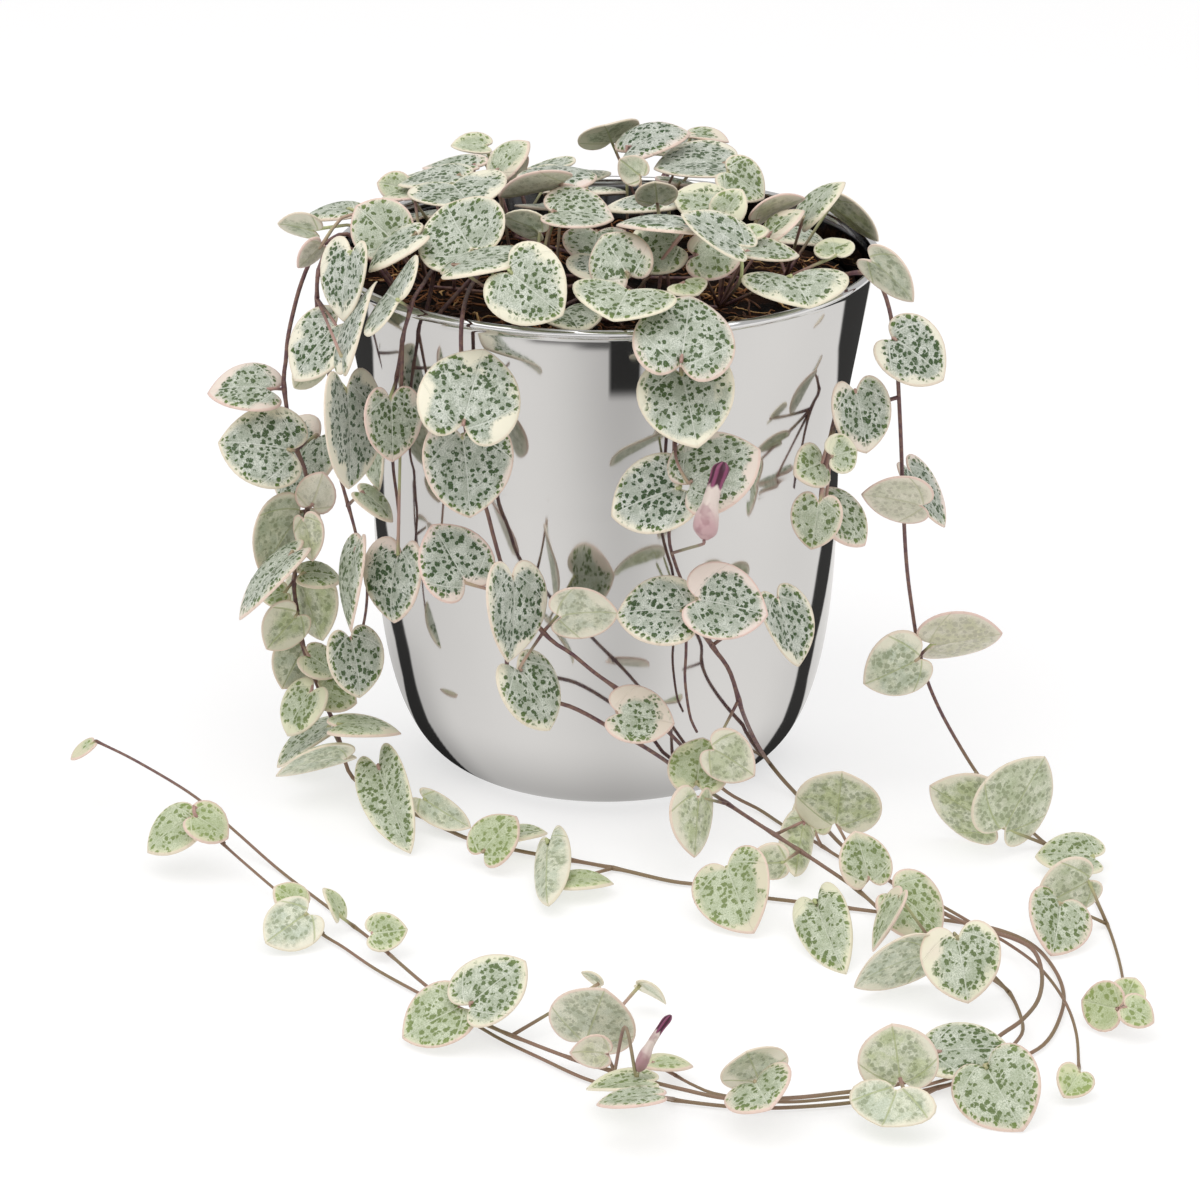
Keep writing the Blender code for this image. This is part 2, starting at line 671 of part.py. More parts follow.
def leaf_at(leaf, notch):
    """The leaf with its notch at this point, turned as the picture shows it."""
    if leaf.face == FLAT:
        return flat_leaf(leaf, notch)
    to_eye = (EYE - notch).normalized()
    right = (VIEW_RIGHT - VIEW_RIGHT.dot(to_eye) * to_eye).normalized()
    above = to_eye.cross(right)
    scale = (notch - EYE).dot(VIEW_FORWARD) / FOCAL_PIXELS
    shown = right * (leaf.tip_x - leaf.x) + above * (leaf.y - leaf.tip_y)
    long_shown = shown.length * scale
    wide_shown = leaf.width * scale
    pointing = shown.normalized()
    aside = to_eye.cross(pointing)
    top = -1.0 if leaf.face == UNDER else 1.0
    if wide_shown >= LEAF_WIDTH * long_shown:
        length = wide_shown / LEAF_WIDTH
        cosine = max(long_shown / length, LEAST_TILT)
        side = -1.0 if top * pointing.z > 0.0 else 1.0
        along = pointing * cosine + to_eye * (side * math.sqrt(1.0 - cosine**2))
        across = aside
    else:
        length = long_shown
        cosine = max(wide_shown / (LEAF_WIDTH * length), LEAST_TILT)
        side = -1.0 if top * aside.z > 0.0 else 1.0
        along = pointing
        across = aside * cosine + to_eye * (side * math.sqrt(1.0 - cosine**2))
    normal = top * along.cross(across).normalized()
    blade = Blade(notch, along.normalized(), normal.cross(along).normalized(), normal, length, length)
    return resting(leaf, blade, wide_shown)


def flat_leaf(leaf, notch):
    """A crown leaf that lies nearly level, sloping a little out and towards the viewpoint."""
    spread = CROWN_LEAN / RIM_RADIUS
    normal = Vector((spread * notch.x, spread * notch.y - VIEW_LEAN, 1.0)).normalized()
    ray = sight(leaf.tip_x, leaf.tip_y)
    tip = EYE + ray * ((notch - EYE).dot(normal) / ray.dot(normal))
    along = (tip - notch).normalized()
    across = normal.cross(along)
    scale = (notch - EYE).dot(VIEW_FORWARD) / FOCAL_PIXELS
    shown = math.hypot(across.dot(VIEW_RIGHT), across.dot(VIEW_UP))
    length = min((tip - notch).length, LONGEST_LEAF)
    breadth = leaf.width * scale / (LEAF_WIDTH * shown)
    return Blade(notch, along, across, normal, length, min(breadth, MOST_BREADTH * length))


def resting(leaf, blade, wide_shown):
    """The same leaf, but with its tip on the floor if it would else reach below it."""
    tip = at_height(leaf.tip_x, leaf.tip_y, TIP_REST + BLADE_DROOP * blade.length)
    reach = tip - blade.notch
    below = on_blade(blade, 1.0, 0.0).z < TIP_REST
    if not below or reach.length > LONGEST_LEAF:
        return blade
    along = reach.normalized()
    level = along.cross(Vector((0.0, 0.0, 1.0))).normalized()
    roll = math.acos(min(1.0, wide_shown / (LEAF_WIDTH * reach.length)))
    roll = min(roll, MOST_ROLL) * (1.0 if leaf.tip_x > leaf.x else -1.0)
    breadth = min(MOST_BREADTH * reach.length, wide_shown / (LEAF_WIDTH * math.cos(roll)))
    across = level * math.cos(roll) + along.cross(level) * math.sin(roll)
    normal = along.cross(across)
    seen = normal.dot(EYE - blade.notch) > 0.0
    if seen == (leaf.face == UNDER):
        normal = -normal
    return Blade(blade.notch, along, normal.cross(along), normal, reach.length, breadth)


def tree_of(corners, faces):
    return BVHTree.FromPolygons([tuple(c) for c in corners], faces)


def prism_shape(path, radius):
    """Corners and faces of a three-sided prism along a path, for testing clearance."""
    corners = []
    for index, point in enumerate(path):
        ahead = path[min(index + 1, len(path) - 1)] - path[max(index - 1, 0)]
        side = ahead.orthogonal().normalized()
        other = ahead.normalized().cross(side)
        for turn in range(3):
            angle = math.tau * turn / 3.0
            corners.append(point + radius * (math.cos(angle) * side + math.sin(angle) * other))
    faces = []
    for ring in range(len(path) - 1):
        for turn in range(3):
            a = 3 * ring + turn
            b = 3 * ring + (turn + 1) % 3
            faces.append((a, b, b + 3, a + 3))
    return corners, faces


def pot_guard():
    """A skin a little off the pot's wall, inside and out, for testing clearance."""
    outside = [(wall_radius(z) + SPARE, z) for z in bowl_heights()]
    inner = RIM_RADIUS - 2.0 * LIP_RADIUS - SPARE
    top = POT_HEIGHT + SPARE
    profile = [(inner, SOIL_TOP), (inner, top), (RIM_RADIUS + SPARE, top)] + outside
    corners = []
    faces = []
    steps = 2 * POT_STEPS
    for radius, height in profile:
        for step in range(steps):
            angle = math.tau * step / steps
            corners.append((radius * math.cos(angle), radius * math.sin(angle), height))
    for ring in range(len(profile) - 1):
        for step in range(steps):
            a = ring * steps + step
            b = ring * steps + (step + 1) % steps
            faces.append((a, b, b + steps, a + steps))
    return tree_of(corners, faces)


class Garden:
    """What is already placed: stems and leaves, each with the node that it belongs to."""

    def __init__(self):
        self.pot = pot_guard()
        self.stems = []
        self.blades = []
        self.stalks = []

    def add_stem(self, node, path):
        self.stems.append((node, path, tree_of(*prism_shape(path, 1.9 * STEM_RADIUS))))

    def add_blade(self, node, blade):
        self.blades.append((node, blade, tree_of(*blade_shape(blade, BLADE_CLEARANCE))))

    def add_stalk(self, node, path):
        self.stalks.append((node, path, tree_of(*prism_shape(path, 1.9 * STALK_RADIUS))))

    def blade_hits(self, blade):
        tree = tree_of(*blade_shape(blade, BLADE_CLEARANCE))
        hits = 3 * bool(tree.overlap(self.pot))
        hits += sum(bool(tree.overlap(other)) for _, _, other in self.stems)
        hits += sum(bool(tree.overlap(other)) for _, _, other in self.stalks)
        for _, other, shape in self.blades:
            if (other.notch - blade.notch).length < 1.3 * (other.length + blade.length):
                hits += bool(tree.overlap(shape))
        return hits

    def stalk_hits(self, node, path):
        tree = tree_of(*prism_shape(path, 1.9 * STALK_RADIUS))
        hits = 3 * bool(tree.overlap(self.pot))
        for other, _, shape in self.stems + self.stalks:
            if other != node:
                hits += bool(tree.overlap(shape))
        for other, blade, shape in self.blades:
            near = (blade.notch - path[-1]).length < 2.0 * blade.length + 20.0 * MM
            if near and bool(tree.overlap(shape)):
                hits += 0.35 if other == node else 3
        return hits


def blade_points(blade):
    corners, _ = blade_shape(blade, BLADE_CLEARANCE)
    rim = corners[1 : len(corners) // 2]
    return corners + [a.lerp(b, 0.5) for a, b in zip(rim, rim[1:])]


def fouls_pot(point):
    """Whether a point lies in the pot's wall, its soil or the floor."""
    if point.z < SPARE:
        return True
    if point.z > POT_HEIGHT + SPARE:
        return False
    if from_axis(point) < RIM_RADIUS - LIP_RADIUS - WALL - 1.2 * MM:
        return point.z < SOIL_TOP + SOIL_RELIEF + SPARE
    return from_axis(point) < wall_radius(point.z) + SPARE


def settled(garden, leaf, notch):
    """The leaf, slid along its line of sight to the nearest place where it meets nothing."""
    ray = (notch - EYE).normalized()
    best = None
    for step in range(50):
        slide = 0.9 * MM * ((step + 1) // 2) * (-1.0 if step % 2 else 1.0)
        blade = leaf_at(leaf, notch + ray * slide)
        faults = 4 * sum(fouls_pot(p) for p in blade_points(blade)) + garden.blade_hits(blade)
        if best is None or faults < best[0]:
            best = (faults, blade)
        if not faults:
            break
    return best


def stalk_path(start, blade, bow):
    """A stalk from the notch to a stem: straight, or back along the midrib and bowed up."""
    reach = (start - blade.notch).length
    behind = blade.notch - blade.along * min(2.5 * MM, 0.4 * reach)
    if reach < 4.5 * MM or not bow:
        return [blade.notch, start]
    return [blade.notch, behind.lerp(start, 0.3) + Vector((0.0, 0.0, 0.6 * bow)), start]


def stalk_for(garden, node, blade, joints):
    """The stalk with the fewest faults, from the nearest joints of the node's stems."""
    nearest = sorted(joints, key=lambda point: (point - blade.notch).length)[:14]
    best = None
    for start in nearest:
        for bow in STALK_BOWS:
            path = stalk_path(start, blade, bow)
            tests = path[:1] + [a.lerp(b, t / 6.0) for a, b in zip(path, path[1:]) for t in range(7)]
            faults = 6 * garden.stalk_hits(node, path) + 6 * sum(fouls_pot(p) for p in tests)
            cost = faults + (STALK_COST * (start - blade.notch).length + 0.1 * abs(bow)) / MM
            if best is None or cost < best[0]:
                best = (cost, faults, path)
    return best[1], best[2]


def nearest_joint(joints, x, y):
    """The stem point that the picture shows nearest to this pixel."""
    def off(point):
        px, py = pixel_of(point)
        return math.hypot(px - x, py - y)

    return min(joints, key=off)


def strand_notch(leaf, joints):
    """Where a strand's leaf starts: on its line of sight, as far away as its stem."""
    joint = nearest_joint(joints, leaf.x, leaf.y)
    if joint.z < 3.0 * STALK_RISE:
        return at_height(leaf.x, leaf.y, joint.z + STALK_RISE)
    ray = sight(leaf.x, leaf.y)
    away = (joint - EYE).dot(VIEW_FORWARD) - 1.2 * MM
    return EYE + ray * (away / ray.dot(VIEW_FORWARD))


class Spray:
    """One leafy node: its stems, stalks and leaves."""

    def __init__(self, name, garden):
        self.name = name
        self.garden = garden
        self.stems = []
        self.stalks = []
        self.stalk_stems = []
        self.blades = []
        self.joints = []

    def add_stem(self, path):
        self.stems.append(path)
        for a, b in zip(path, path[1:]):
            self.joints += [a, a.lerp(b, 0.5)]
        self.joints.append(path[-1])
        self.garden.add_stem(self.name, path)

    def above_ground(self):
        return [p for p in self.joints if from_axis(p) > ROOT_RADIUS + 1.0 * MM or p.z > POT_HEIGHT]

    def grow(self, blade, joints):
        faults, path = stalk_for(self.garden, self.name, blade, joints)
        self.blades.append(blade)
        self.stalks.append(path)
        self.garden.add_blade(self.name, blade)
        self.garden.add_stalk(self.name, path)
        return faults


def strand(garden, laid, name, routes):
    """A trailing stem with its branches. The first route is rooted in the soil."""
    spray = Spray(name, garden)
    for number, picks in enumerate(routes):
        points = route(picks)
        if number == 0:
            points = rooted(points)
        path = smooth_path(points, STEM_FINE)
        skip = 6 if number == 0 else 1
        path = path[:skip] + [clear_of_pot(p, STEM_RADIUS + 0.8 * MM) for p in path[skip:]]
        if number:
            path[0] = min(spray.joints, key=lambda p: (p - path[0]).length)
        for _ in range(HUMP_PASSES):
            path = hump(path, laid)
        laid += path
        spray.add_stem(thinned(path))
    return spray


def dress(spray, leaves):
    joints = spray.above_ground()
    for number, leaf in enumerate(leaves):
        faults, blade = settled(spray.garden, leaf, strand_notch(leaf, joints))
        worse = spray.grow(blade, joints)
        if faults or worse:
            print(f"{spray.name} leaf {number} meets {faults} with its blade, {worse} with its stalk")


def flower_path(flower, start):
    """Points along a flower from its base to its tip, across the line of sight."""
    away = (start - EYE).dot(VIEW_FORWARD)
    ray = sight(flower.end_x, flower.end_y)
    end = EYE + ray * (away / ray.dot(VIEW_FORWARD))
    return [start.lerp(end, share) for share, _ in FLOWER_FORM]


def bloom(spray, flower):
    """A flower's place, clear of the leaves and in front of them, with the stalk that nearly meets it."""
    joint = nearest_joint(spray.joints, flower.x, flower.y)
    ray = sight(flower.x, flower.y)
    away = (joint - EYE).dot(VIEW_FORWARD) / ray.dot(VIEW_FORWARD)
    best = None
    for step in range(40):
        path = flower_path(flower, EYE + ray * (away - 0.8 * MM * step))
        tree = tree_of(*prism_shape(path, 0.75 * flower.width * MM))
        shapes = spray.garden.stems + spray.garden.blades + spray.garden.stalks
        faults = 20 * sum(bool(tree.overlap(shape)) for _, _, shape in shapes)
        faults += 20 * sum(fouls_pot(p) for p in path)
        shown = count_seen(path, [shape for _, _, shape in spray.garden.blades])
        faults += shown < FLOWER_SHOWN * len(path)
        if best is None or faults < best[0]:
            best = (faults, path)
        if not faults:
            break
    path = best[1]
    top = path[0] + (path[0] - path[1]).normalized() * (STALK_RADIUS + SPARE)
    nearest = sorted(spray.joints, key=lambda point: (point - top).length)
    behind = [point for point in nearest if (top - point).dot(path[1] - path[0]) > 0.0]
    lines = [
        [start, start.lerp(top, 0.5) + Vector((0.0, 0.0, bow)), top]
        for start in behind[:20]
        for bow in STALK_BOWS
    ]
    stalk = min(lines, key=lambda line: spray.garden.stalk_hits(spray.name, line))
    spray.stalk_stems.append(stalk)
    spray.garden.add_stalk(spray.name, stalk)
    spray.garden.add_stem(flower.node, path)
    return path


def back_strand(garden, name, degrees, drop):
    """A short strand down the far side, which the viewpoint doesn't see."""
    turn = math.radians(degrees)
    aim = Vector((math.cos(turn), math.sin(turn), 0.0))
    side = Vector((-aim.y, aim.x, 0.0))
    rise = Vector((0.0, 0.0, 1.0))
    points = [
        aim * (RIM_RADIUS - 3.5 * MM) + rise * (POT_HEIGHT + 1.8 * MM),
        aim * (RIM_RADIUS + 2.0 * MM) + rise * (POT_HEIGHT + 1.2 * MM),
    ]
    count = round(drop / BACK_STEP)
    for number in range(1, count + 1):
        height = POT_HEIGHT - number * BACK_STEP
        radius = wall_radius(height) + 2.6 * MM
        points.append(aim * radius + rise * height + side * (BACK_WAVE * math.sin(1.3 * number)))
    spray = Spray(name, garden)
    spray.add_stem(thinned(smooth_path(rooted(points), STEM_FINE)))
    for number in range(1, count + 1):
        joint = points[number + 1]
        for hand in (1.0, -1.0):
            normal = (aim + rise * 0.35 + side * 0.2 * hand).normalized()
            reach = (side * hand - rise * (0.35 + 0.1 * (number % 3))).normalized()
            along = (reach - normal * reach.dot(normal)).normalized()
            length = BACK_LEAF * (1.0 - 0.06 * number) * (1.0 - 0.1 * (hand > 0))
            notch = joint + along * 3.0 * MM + normal * (3.0 + 1.4 * (hand > 0)) * MM
            blade = Blade(notch, along, normal.cross(along), normal, length, length)
            if not any(fouls_pot(p) for p in blade_points(blade)) and not garden.blade_hits(blade):
                spray.grow(blade, spray.joints)
    return spray


def crown_frame(garden):
    """Low stems that spread from the middle of the pot, with the roots that hold them."""
    spray = Spray("crown", garden)
    draw = random.Random(SEED)
    heart = Vector((1.0 * MM, 2.0 * MM, SOIL_TOP + SPOKE_LIFT))
    roots = []
    for spoke in range(CROWN_SPOKES):
        turn = math.tau * (spoke + draw.uniform(-0.2, 0.2)) / CROWN_SPOKES
        bend = turn + draw.uniform(-0.35, 0.35)
        reach = CROWN_REACH * draw.uniform(0.9, 1.05)
        middle = Vector((math.cos(bend), math.sin(bend), 0.0)) * 0.5 * reach
        end = Vector((math.cos(turn), math.sin(turn), 0.0)) * reach
        points = [
            heart - middle * 0.12,
            middle + Vector((0.0, 0.0, SOIL_TOP + SPOKE_LIFT)),
            end + Vector((0.0, 0.0, SOIL_TOP + SPOKE_LIFT + 1.0 * MM)),
        ]
        spray.add_stem(thinned(smooth_path(points, STEM_FINE)))
        if spoke % 2 == 0:
            foot = Vector((middle.x, middle.y, SOIL_TOP - 0.6 * HOLE_DEPTH))
            spray.stems.append([foot, points[1]])
            roots.append(foot)
    return spray, roots


def count_seen(points, trees):
    """How many of the points the leaves leave in sight of the viewpoint."""
    shown = 0
    for point in points:
        towards = (EYE - point).normalized()
        if not any(tree.ray_cast(point + towards * MM, towards)[0] for tree in trees):
            shown += 1
    return shown


def bare(point):
    """Whether a point shows where the picture has bare soil at the front of the pot."""
    x, y = pixel_of(point)
    return any(left < x < right and top < y < bottom for left, top, right, bottom in BARE_SOIL)


def drawn_leaf(draw, far, low):
    """A leaf over the pot drawn by rule, at its height below the crown's dome."""
    turn = draw.uniform(0.0, math.pi) if far else draw.uniform(0.0, math.tau)
    radius = RIM_RADIUS * math.sqrt(draw.uniform(0.02, 0.95))
    lean = draw.uniform(0.1, 0.7) if far else draw.uniform(0.0, 0.3)
    twist = turn + draw.uniform(-0.9, 0.9)
    length = draw.uniform(12.0, 17.0) * MM
    aim = Vector((math.cos(twist), math.sin(twist), 0.0))
    spot = Vector((math.cos(turn) * radius, math.sin(turn) * radius, 0.0))
    spot.z = dome_height(spot) - low - draw.uniform(0.0, 6.0) * MM
    along = (aim - Vector((0.0, 0.0, lean))).normalized()
    normal = (Vector((0.0, 0.0, 1.0)) - along * along.z).normalized()
    return Blade(spot, along, normal.cross(along), normal, length, length)


def ruled_leaves(spray, count, far):
    """Leaves that the picture doesn't settle: of the far side, or low in the crown's gaps."""
    draw = random.Random(SEED)
    trees = [tree for _, _, tree in spray.garden.blades]
    grown = 0
    for _ in range(RULE_TRIES):
        if grown == count:
            break
        blade = drawn_leaf(draw, far, 0.0 if far else LOW_DROP)
        points = blade_points(blade)
        if any(fouls_pot(p) for p in points) or spray.garden.blade_hits(blade):
            continue
        shown = count_seen(points[:9], trees)
        wanted = shown <= 1 if far else shown >= LOW_SHOWN and not bare(points[0])
        if wanted:
            spray.grow(blade, spray.joints)
            trees.append(spray.garden.blades[-1][2])
            grown += 1
    return grown


def material(name, colour, roughness, metallic=0.0):
    made = bpy.data.materials.new(name)
    made.use_nodes = True
    shader = made.node_tree.nodes["Principled BSDF"]
    shader.inputs["Base Color"].default_value = colour
    shader.inputs["Roughness"].default_value = roughness
    shader.inputs["Metallic"].default_value = metallic
    return made


def mesh_object(name, corners, faces, collection):
    mesh = bpy.data.meshes.new(name)
    mesh.from_pydata([tuple(c) for c in corners], [], faces)
    made = bpy.data.objects.new(name, mesh)
    collection.objects.link(made)
    return made


def tube_object(name, path, radius, collection, form=None, sides=0):
    """A closed tube along a path, as a mesh: four-sided, or of a form that swells and narrows."""
    curve = bpy.data.curves.new(name, "CURVE")
    curve.dimensions = "3D"
    curve.bevel_depth = radius
    curve.bevel_resolution = sides
    curve.use_fill_caps = True
    spline = curve.splines.new("POLY")
    spline.points.add(len(path) - 1)
    for index, (point, place) in enumerate(zip(spline.points, path)):
        point.co = (*place, 1.0)
        point.radius = form[index] if form else 1.0
    guide = bpy.data.objects.new(name + "_guide", curve)
    collection.objects.link(guide)
    graph = bpy.context.evaluated_depsgraph_get()
    mesh = bpy.data.meshes.new_from_object(guide.evaluated_get(graph))
    bpy.data.objects.remove(guide)
    shape = bmesh.new()
    shape.from_mesh(mesh)
    bmesh.ops.remove_doubles(shape, verts=shape.verts, dist=1e-6)
    bmesh.ops.recalc_face_normals(shape, faces=shape.faces)
    shape.to_mesh(mesh)
    shape.free()
    made = bpy.data.objects.new(name, mesh)
    collection.objects.link(made)
    return made


def drop_scraps(obj):
    """Removes what the union left loose, and returns how many bodies there were."""
    shape = bmesh.new()
    shape.from_mesh(obj.data)
    left = set(shape.verts)
    bodies = []
    while left:
        found = {left.pop()}
        edge = list(found)
        while edge:
            vert = edge.pop()
            for link in vert.link_edges:
                other = link.other_vert(vert)
                if other in left:
                    left.discard(other)
                    found.add(other)
                    edge.append(other)
        bodies.append(found)
    bodies.sort(key=len, reverse=True)
    scraps = [vert for body in bodies[1:] for vert in body]
    bmesh.ops.delete(shape, geom=scraps, context="VERTS")
    shape.to_mesh(obj.data)
    shape.free()
    return [len(body) for body in bodies]


def fused(name, pieces, look, parts, helpers):
    """One body from overlapping closed pieces."""
    base = pieces[0]
    base.name = name
    base.data.name = name
    helpers.objects.unlink(base)
    parts.objects.link(base)
    base.data.materials.clear()
    base.data.materials.append(look)
    union = base.modifiers.new("Union", "BOOLEAN")
    union.operation = "UNION"
    union.solver = "MANIFOLD"
    union.operand_type = "COLLECTION"
    union.collection = helpers
    graph = bpy.context.evaluated_depsgraph_get()
    mesh = bpy.data.meshes.new_from_object(base.evaluated_get(graph))
    base.modifiers.remove(union)
    base.data = mesh
    for piece in pieces[1:]:
        bpy.data.objects.remove(piece)
    bodies = drop_scraps(base)
    if len(bodies) > 1:
        print(f"{name}: {len(bodies)} bodies, of {bodies[:8]} corners")
    return base


def spray_object(spray, look, parts, helpers):
    pieces = [tube_object("stem", path, STEM_RADIUS, helpers) for path in spray.stems]
    pieces += [tube_object("stalk", path, STALK_RADIUS, helpers) for path in spray.stalk_stems]
    for blade, stalk in zip(spray.blades, spray.stalks):
        pieces.append(mesh_object("leaf", *blade_shape(blade, BLADE_THICKNESS, stalk), helpers))
    return fused(spray.name, pieces, look, parts, helpers)


def turned(name, profile, steps, collection):
    """A profile in X and Z turned about the Z axis."""
    mesh = bpy.data.meshes.new(name)
    edges = [(i, i + 1) for i in range(len(profile) - 1)]
    mesh.from_pydata([(x, 0.0, z) for x, z in profile], edges, [])
    made = bpy.data.objects.new(name, mesh)
    collection.objects.link(made)
    screw = made.modifiers.new("Turn", "SCREW")
    screw.steps = steps
    screw.render_steps = steps
    screw.use_merge_vertices = True
    screw.merge_threshold = 0.00001
    return made


def bowl_heights():
    """Heights down the outside of the pot, closer together where it curves more."""
    heights = [POT_HEIGHT - 2.4 * LIP_RADIUS, BOWL_TOP]
    for step in range(1, BOWL_POINTS + 1):
        angle = 0.5 * math.pi * step / BOWL_POINTS
        heights.append(BOWL_TOP * (1.0 - math.sin(angle) ** (2.0 / BOWL_POWER)))
    return heights


def inner_points():
    """Points down the inside of the pot's wall, fewer than on its outside."""
    heights = bowl_heights()
    kept = heights[:2] + heights[3:-2:2]
    return [(wall_radius(z) - WALL, z) for z in kept] + [(FOOT_RADIUS, INSIDE_FLOOR)]


def pot_profile():
    """From the middle of the inside, up the inner wall, over the lip and down the outside."""
    outside = [(wall_radius(z), z) for z in bowl_heights()]
    outside[-1] = (FOOT_RADIUS, 0.0)
    inside = inner_points()
    lip_middle = RIM_RADIUS - LIP_RADIUS
    lip = []
    for step in range(LIP_POINTS):
        angle = math.pi * (1.1 - 1.3 * step / (LIP_POINTS - 1))
        height = POT_HEIGHT - LIP_RADIUS * (1.0 - math.sin(angle))
        lip.append((lip_middle + LIP_RADIUS * math.cos(angle), height))
    return [(0.0, INSIDE_FLOOR)] + inside[::-1] + lip + outside + [(0.0, 0.0)]


def soil_profile():
    """The fill of the pot: a flat top, then down inside the wall to the pot's floor."""
    inset = SOIL_GAP + RIM_RADIUS * (1.0 - math.cos(math.pi / SOIL_STEPS))
    edge = wall_radius(SOIL_TOP) - WALL - inset
    rings = [(edge * ring / SOIL_RINGS, SOIL_TOP) for ring in range(SOIL_RINGS + 1)]
    sides = [(r - inset, z + SOIL_GAP) for r, z in inner_points()[1:]]
    return rings + sides + [(0.0, sides[-1][1])]


def soil_relief(point):
    """Low lumps in the soil's top, which fade out at its edge and over its holes."""
    wave = math.sin(310.0 * point.x + 1.0) * math.cos(270.0 * point.y)
    wave += 0.6 * math.sin(520.0 * point.y + 380.0 * point.x)
    inner = max(0.0, 1.0 - from_axis(point) / (0.93 * ROOT_RADIUS))
    return SOIL_RELIEF * 0.6 * wave * min(1.0, 3.0 * inner)


def soil_object(holes, parts, helpers):
    made = turned("soil", soil_profile(), SOIL_STEPS, parts)
    graph = bpy.context.evaluated_depsgraph_get()
    mesh = bpy.data.meshes.new_from_object(made.evaluated_get(graph))
    made.modifiers.clear()
    made.data = mesh
    for vertex in mesh.vertices:
        if vertex.co.z > SOIL_TOP - 0.01 * MM:
            vertex.co.z += soil_relief(vertex.co)
    for place in holes:
        shape = bmesh.new()
        bmesh.ops.create_cone(
            shape, cap_ends=True, segments=8, radius1=HOLE_RADIUS, radius2=HOLE_RADIUS, depth=2.0 * HOLE_DEPTH
        )
        mesh = bpy.data.meshes.new("hole")
        shape.to_mesh(mesh)
        shape.free()
        cutter = bpy.data.objects.new("hole", mesh)
        cutter.location = (place.x, place.y, SOIL_TOP)
        helpers.objects.link(cutter)
    cut = made.modifiers.new("Holes", "BOOLEAN")
    cut.operation = "DIFFERENCE"
    cut.solver = "EXACT"
    cut.operand_type = "COLLECTION"
    cut.collection = helpers
    graph = bpy.context.evaluated_depsgraph_get()
    graph.update()
    mesh = bpy.data.meshes.new_from_object(made.evaluated_get(graph))
    made.modifiers.clear()
    made.data = mesh
    for cutter in list(helpers.objects):
        bpy.data.objects.remove(cutter)
    made.data.materials.append(material("Soil", SOIL_BROWN, 0.95))
    return made


def pot_object(parts):
    made = turned("pot", pot_profile(), POT_STEPS, parts)
    made.data.materials.append(material("Polished steel", STEEL, 0.08, 1.0))
    made.data.shade_smooth()
    return made


def collections():
    parts = bpy.data.collections.new("String of hearts")
    helpers = bpy.data.collections.new("Helpers")
    bpy.context.scene.collection.children.link(parts)
    bpy.context.scene.collection.children.link(helpers)
    return parts, helpers


def grown_sprays():
    """Every leafy node, with the holes that its stems stand in."""
    garden = Garden()
    laid = []
    plan = [
        ("strand_left_long", [LEFT_LONG], LEFT_LONG_LEAVES),
        ("strand_front_left", [FRONT_LEFT, FRONT_LEFT_BRANCH], FRONT_LEFT_LEAVES),
        ("strand_front_middle", [FRONT_MIDDLE, FRONT_MIDDLE_BRANCH], FRONT_MIDDLE_LEAVES),
        ("strand_left_inner", [LEFT_INNER], LEFT_INNER_LEAVES),
        ("strand_left_wall", [LEFT_WALL], LEFT_WALL_LEAVES),
        ("strand_right_outer", [RIGHT_OUTER, RIGHT_OUTER_BRANCH], RIGHT_OUTER_LEAVES),
    ]
    sprays = [strand(garden, laid, name, routes) for name, routes, _ in plan]
    crown, roots = crown_frame(garden)
    for spray, (_, _, leaves) in zip(sprays, plan):
        dress(spray, leaves)
    for number, leaf in enumerate(CROWN_LEAVES):
        faults, blade = settled(garden, leaf, at_dome(leaf.x, leaf.y))
        worse = crown.grow(blade, crown.joints)
        if faults or worse:
            print(f"crown leaf {number} meets {faults} with its blade, {worse} with its stalk")
    flowers = []
    for spray in sprays:
        for flower in FLOWERS.get(spray.name, []):
            flowers.append((flower, bloom(spray, flower)))
    for name, (degrees, drop) in BACK_STRANDS.items():
        sprays.append(back_strand(garden, name, degrees, drop))
    print(f"{ruled_leaves(crown, LOW_LEAVES, False)} low leaves")
    print(f"{ruled_leaves(crown, HIDDEN_LEAVES, True)} leaves on the far side")
    holes = roots + [spray.stems[0][0] for spray in sprays]
    return sprays + [crown], flowers, holes


def main():
    for old in list(bpy.data.objects):
        bpy.data.objects.remove(old)
    parts, helpers = collections()
    sprays, flowers, holes = grown_sprays()
    look = material("Variegated leaf", LEAF_GREEN, 0.45)
    for spray in sprays:
        spray_object(spray, look, parts, helpers)
    petal = material("Mauve flower", MAUVE, 0.6)
    form = [share for _, share in FLOWER_FORM]
    for flower, path in flowers:
        made = tube_object(flower.node, path, 0.5 * flower.width * MM, parts, form, 1)
        made.data.materials.append(petal)
        made.data.shade_smooth()
    soil_object(holes, parts, helpers)
    pot_object(parts)
    bpy.context.scene.collection.children.unlink(helpers)


main()
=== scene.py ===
"""How the variegated string of hearts in its metal pot looks.

The pot, soil, leaves, stems and flowers are placed by the same picks and rules as the solids
that they stand for, and are made finer here: fleshy leaves with rounded edges, tapering
stalks, root fibres in the coir, and the materials of each.
"""

import math
import random
from collections import namedtuple

import bpy
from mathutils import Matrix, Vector, noise
from mathutils.bvhtree import BVHTree


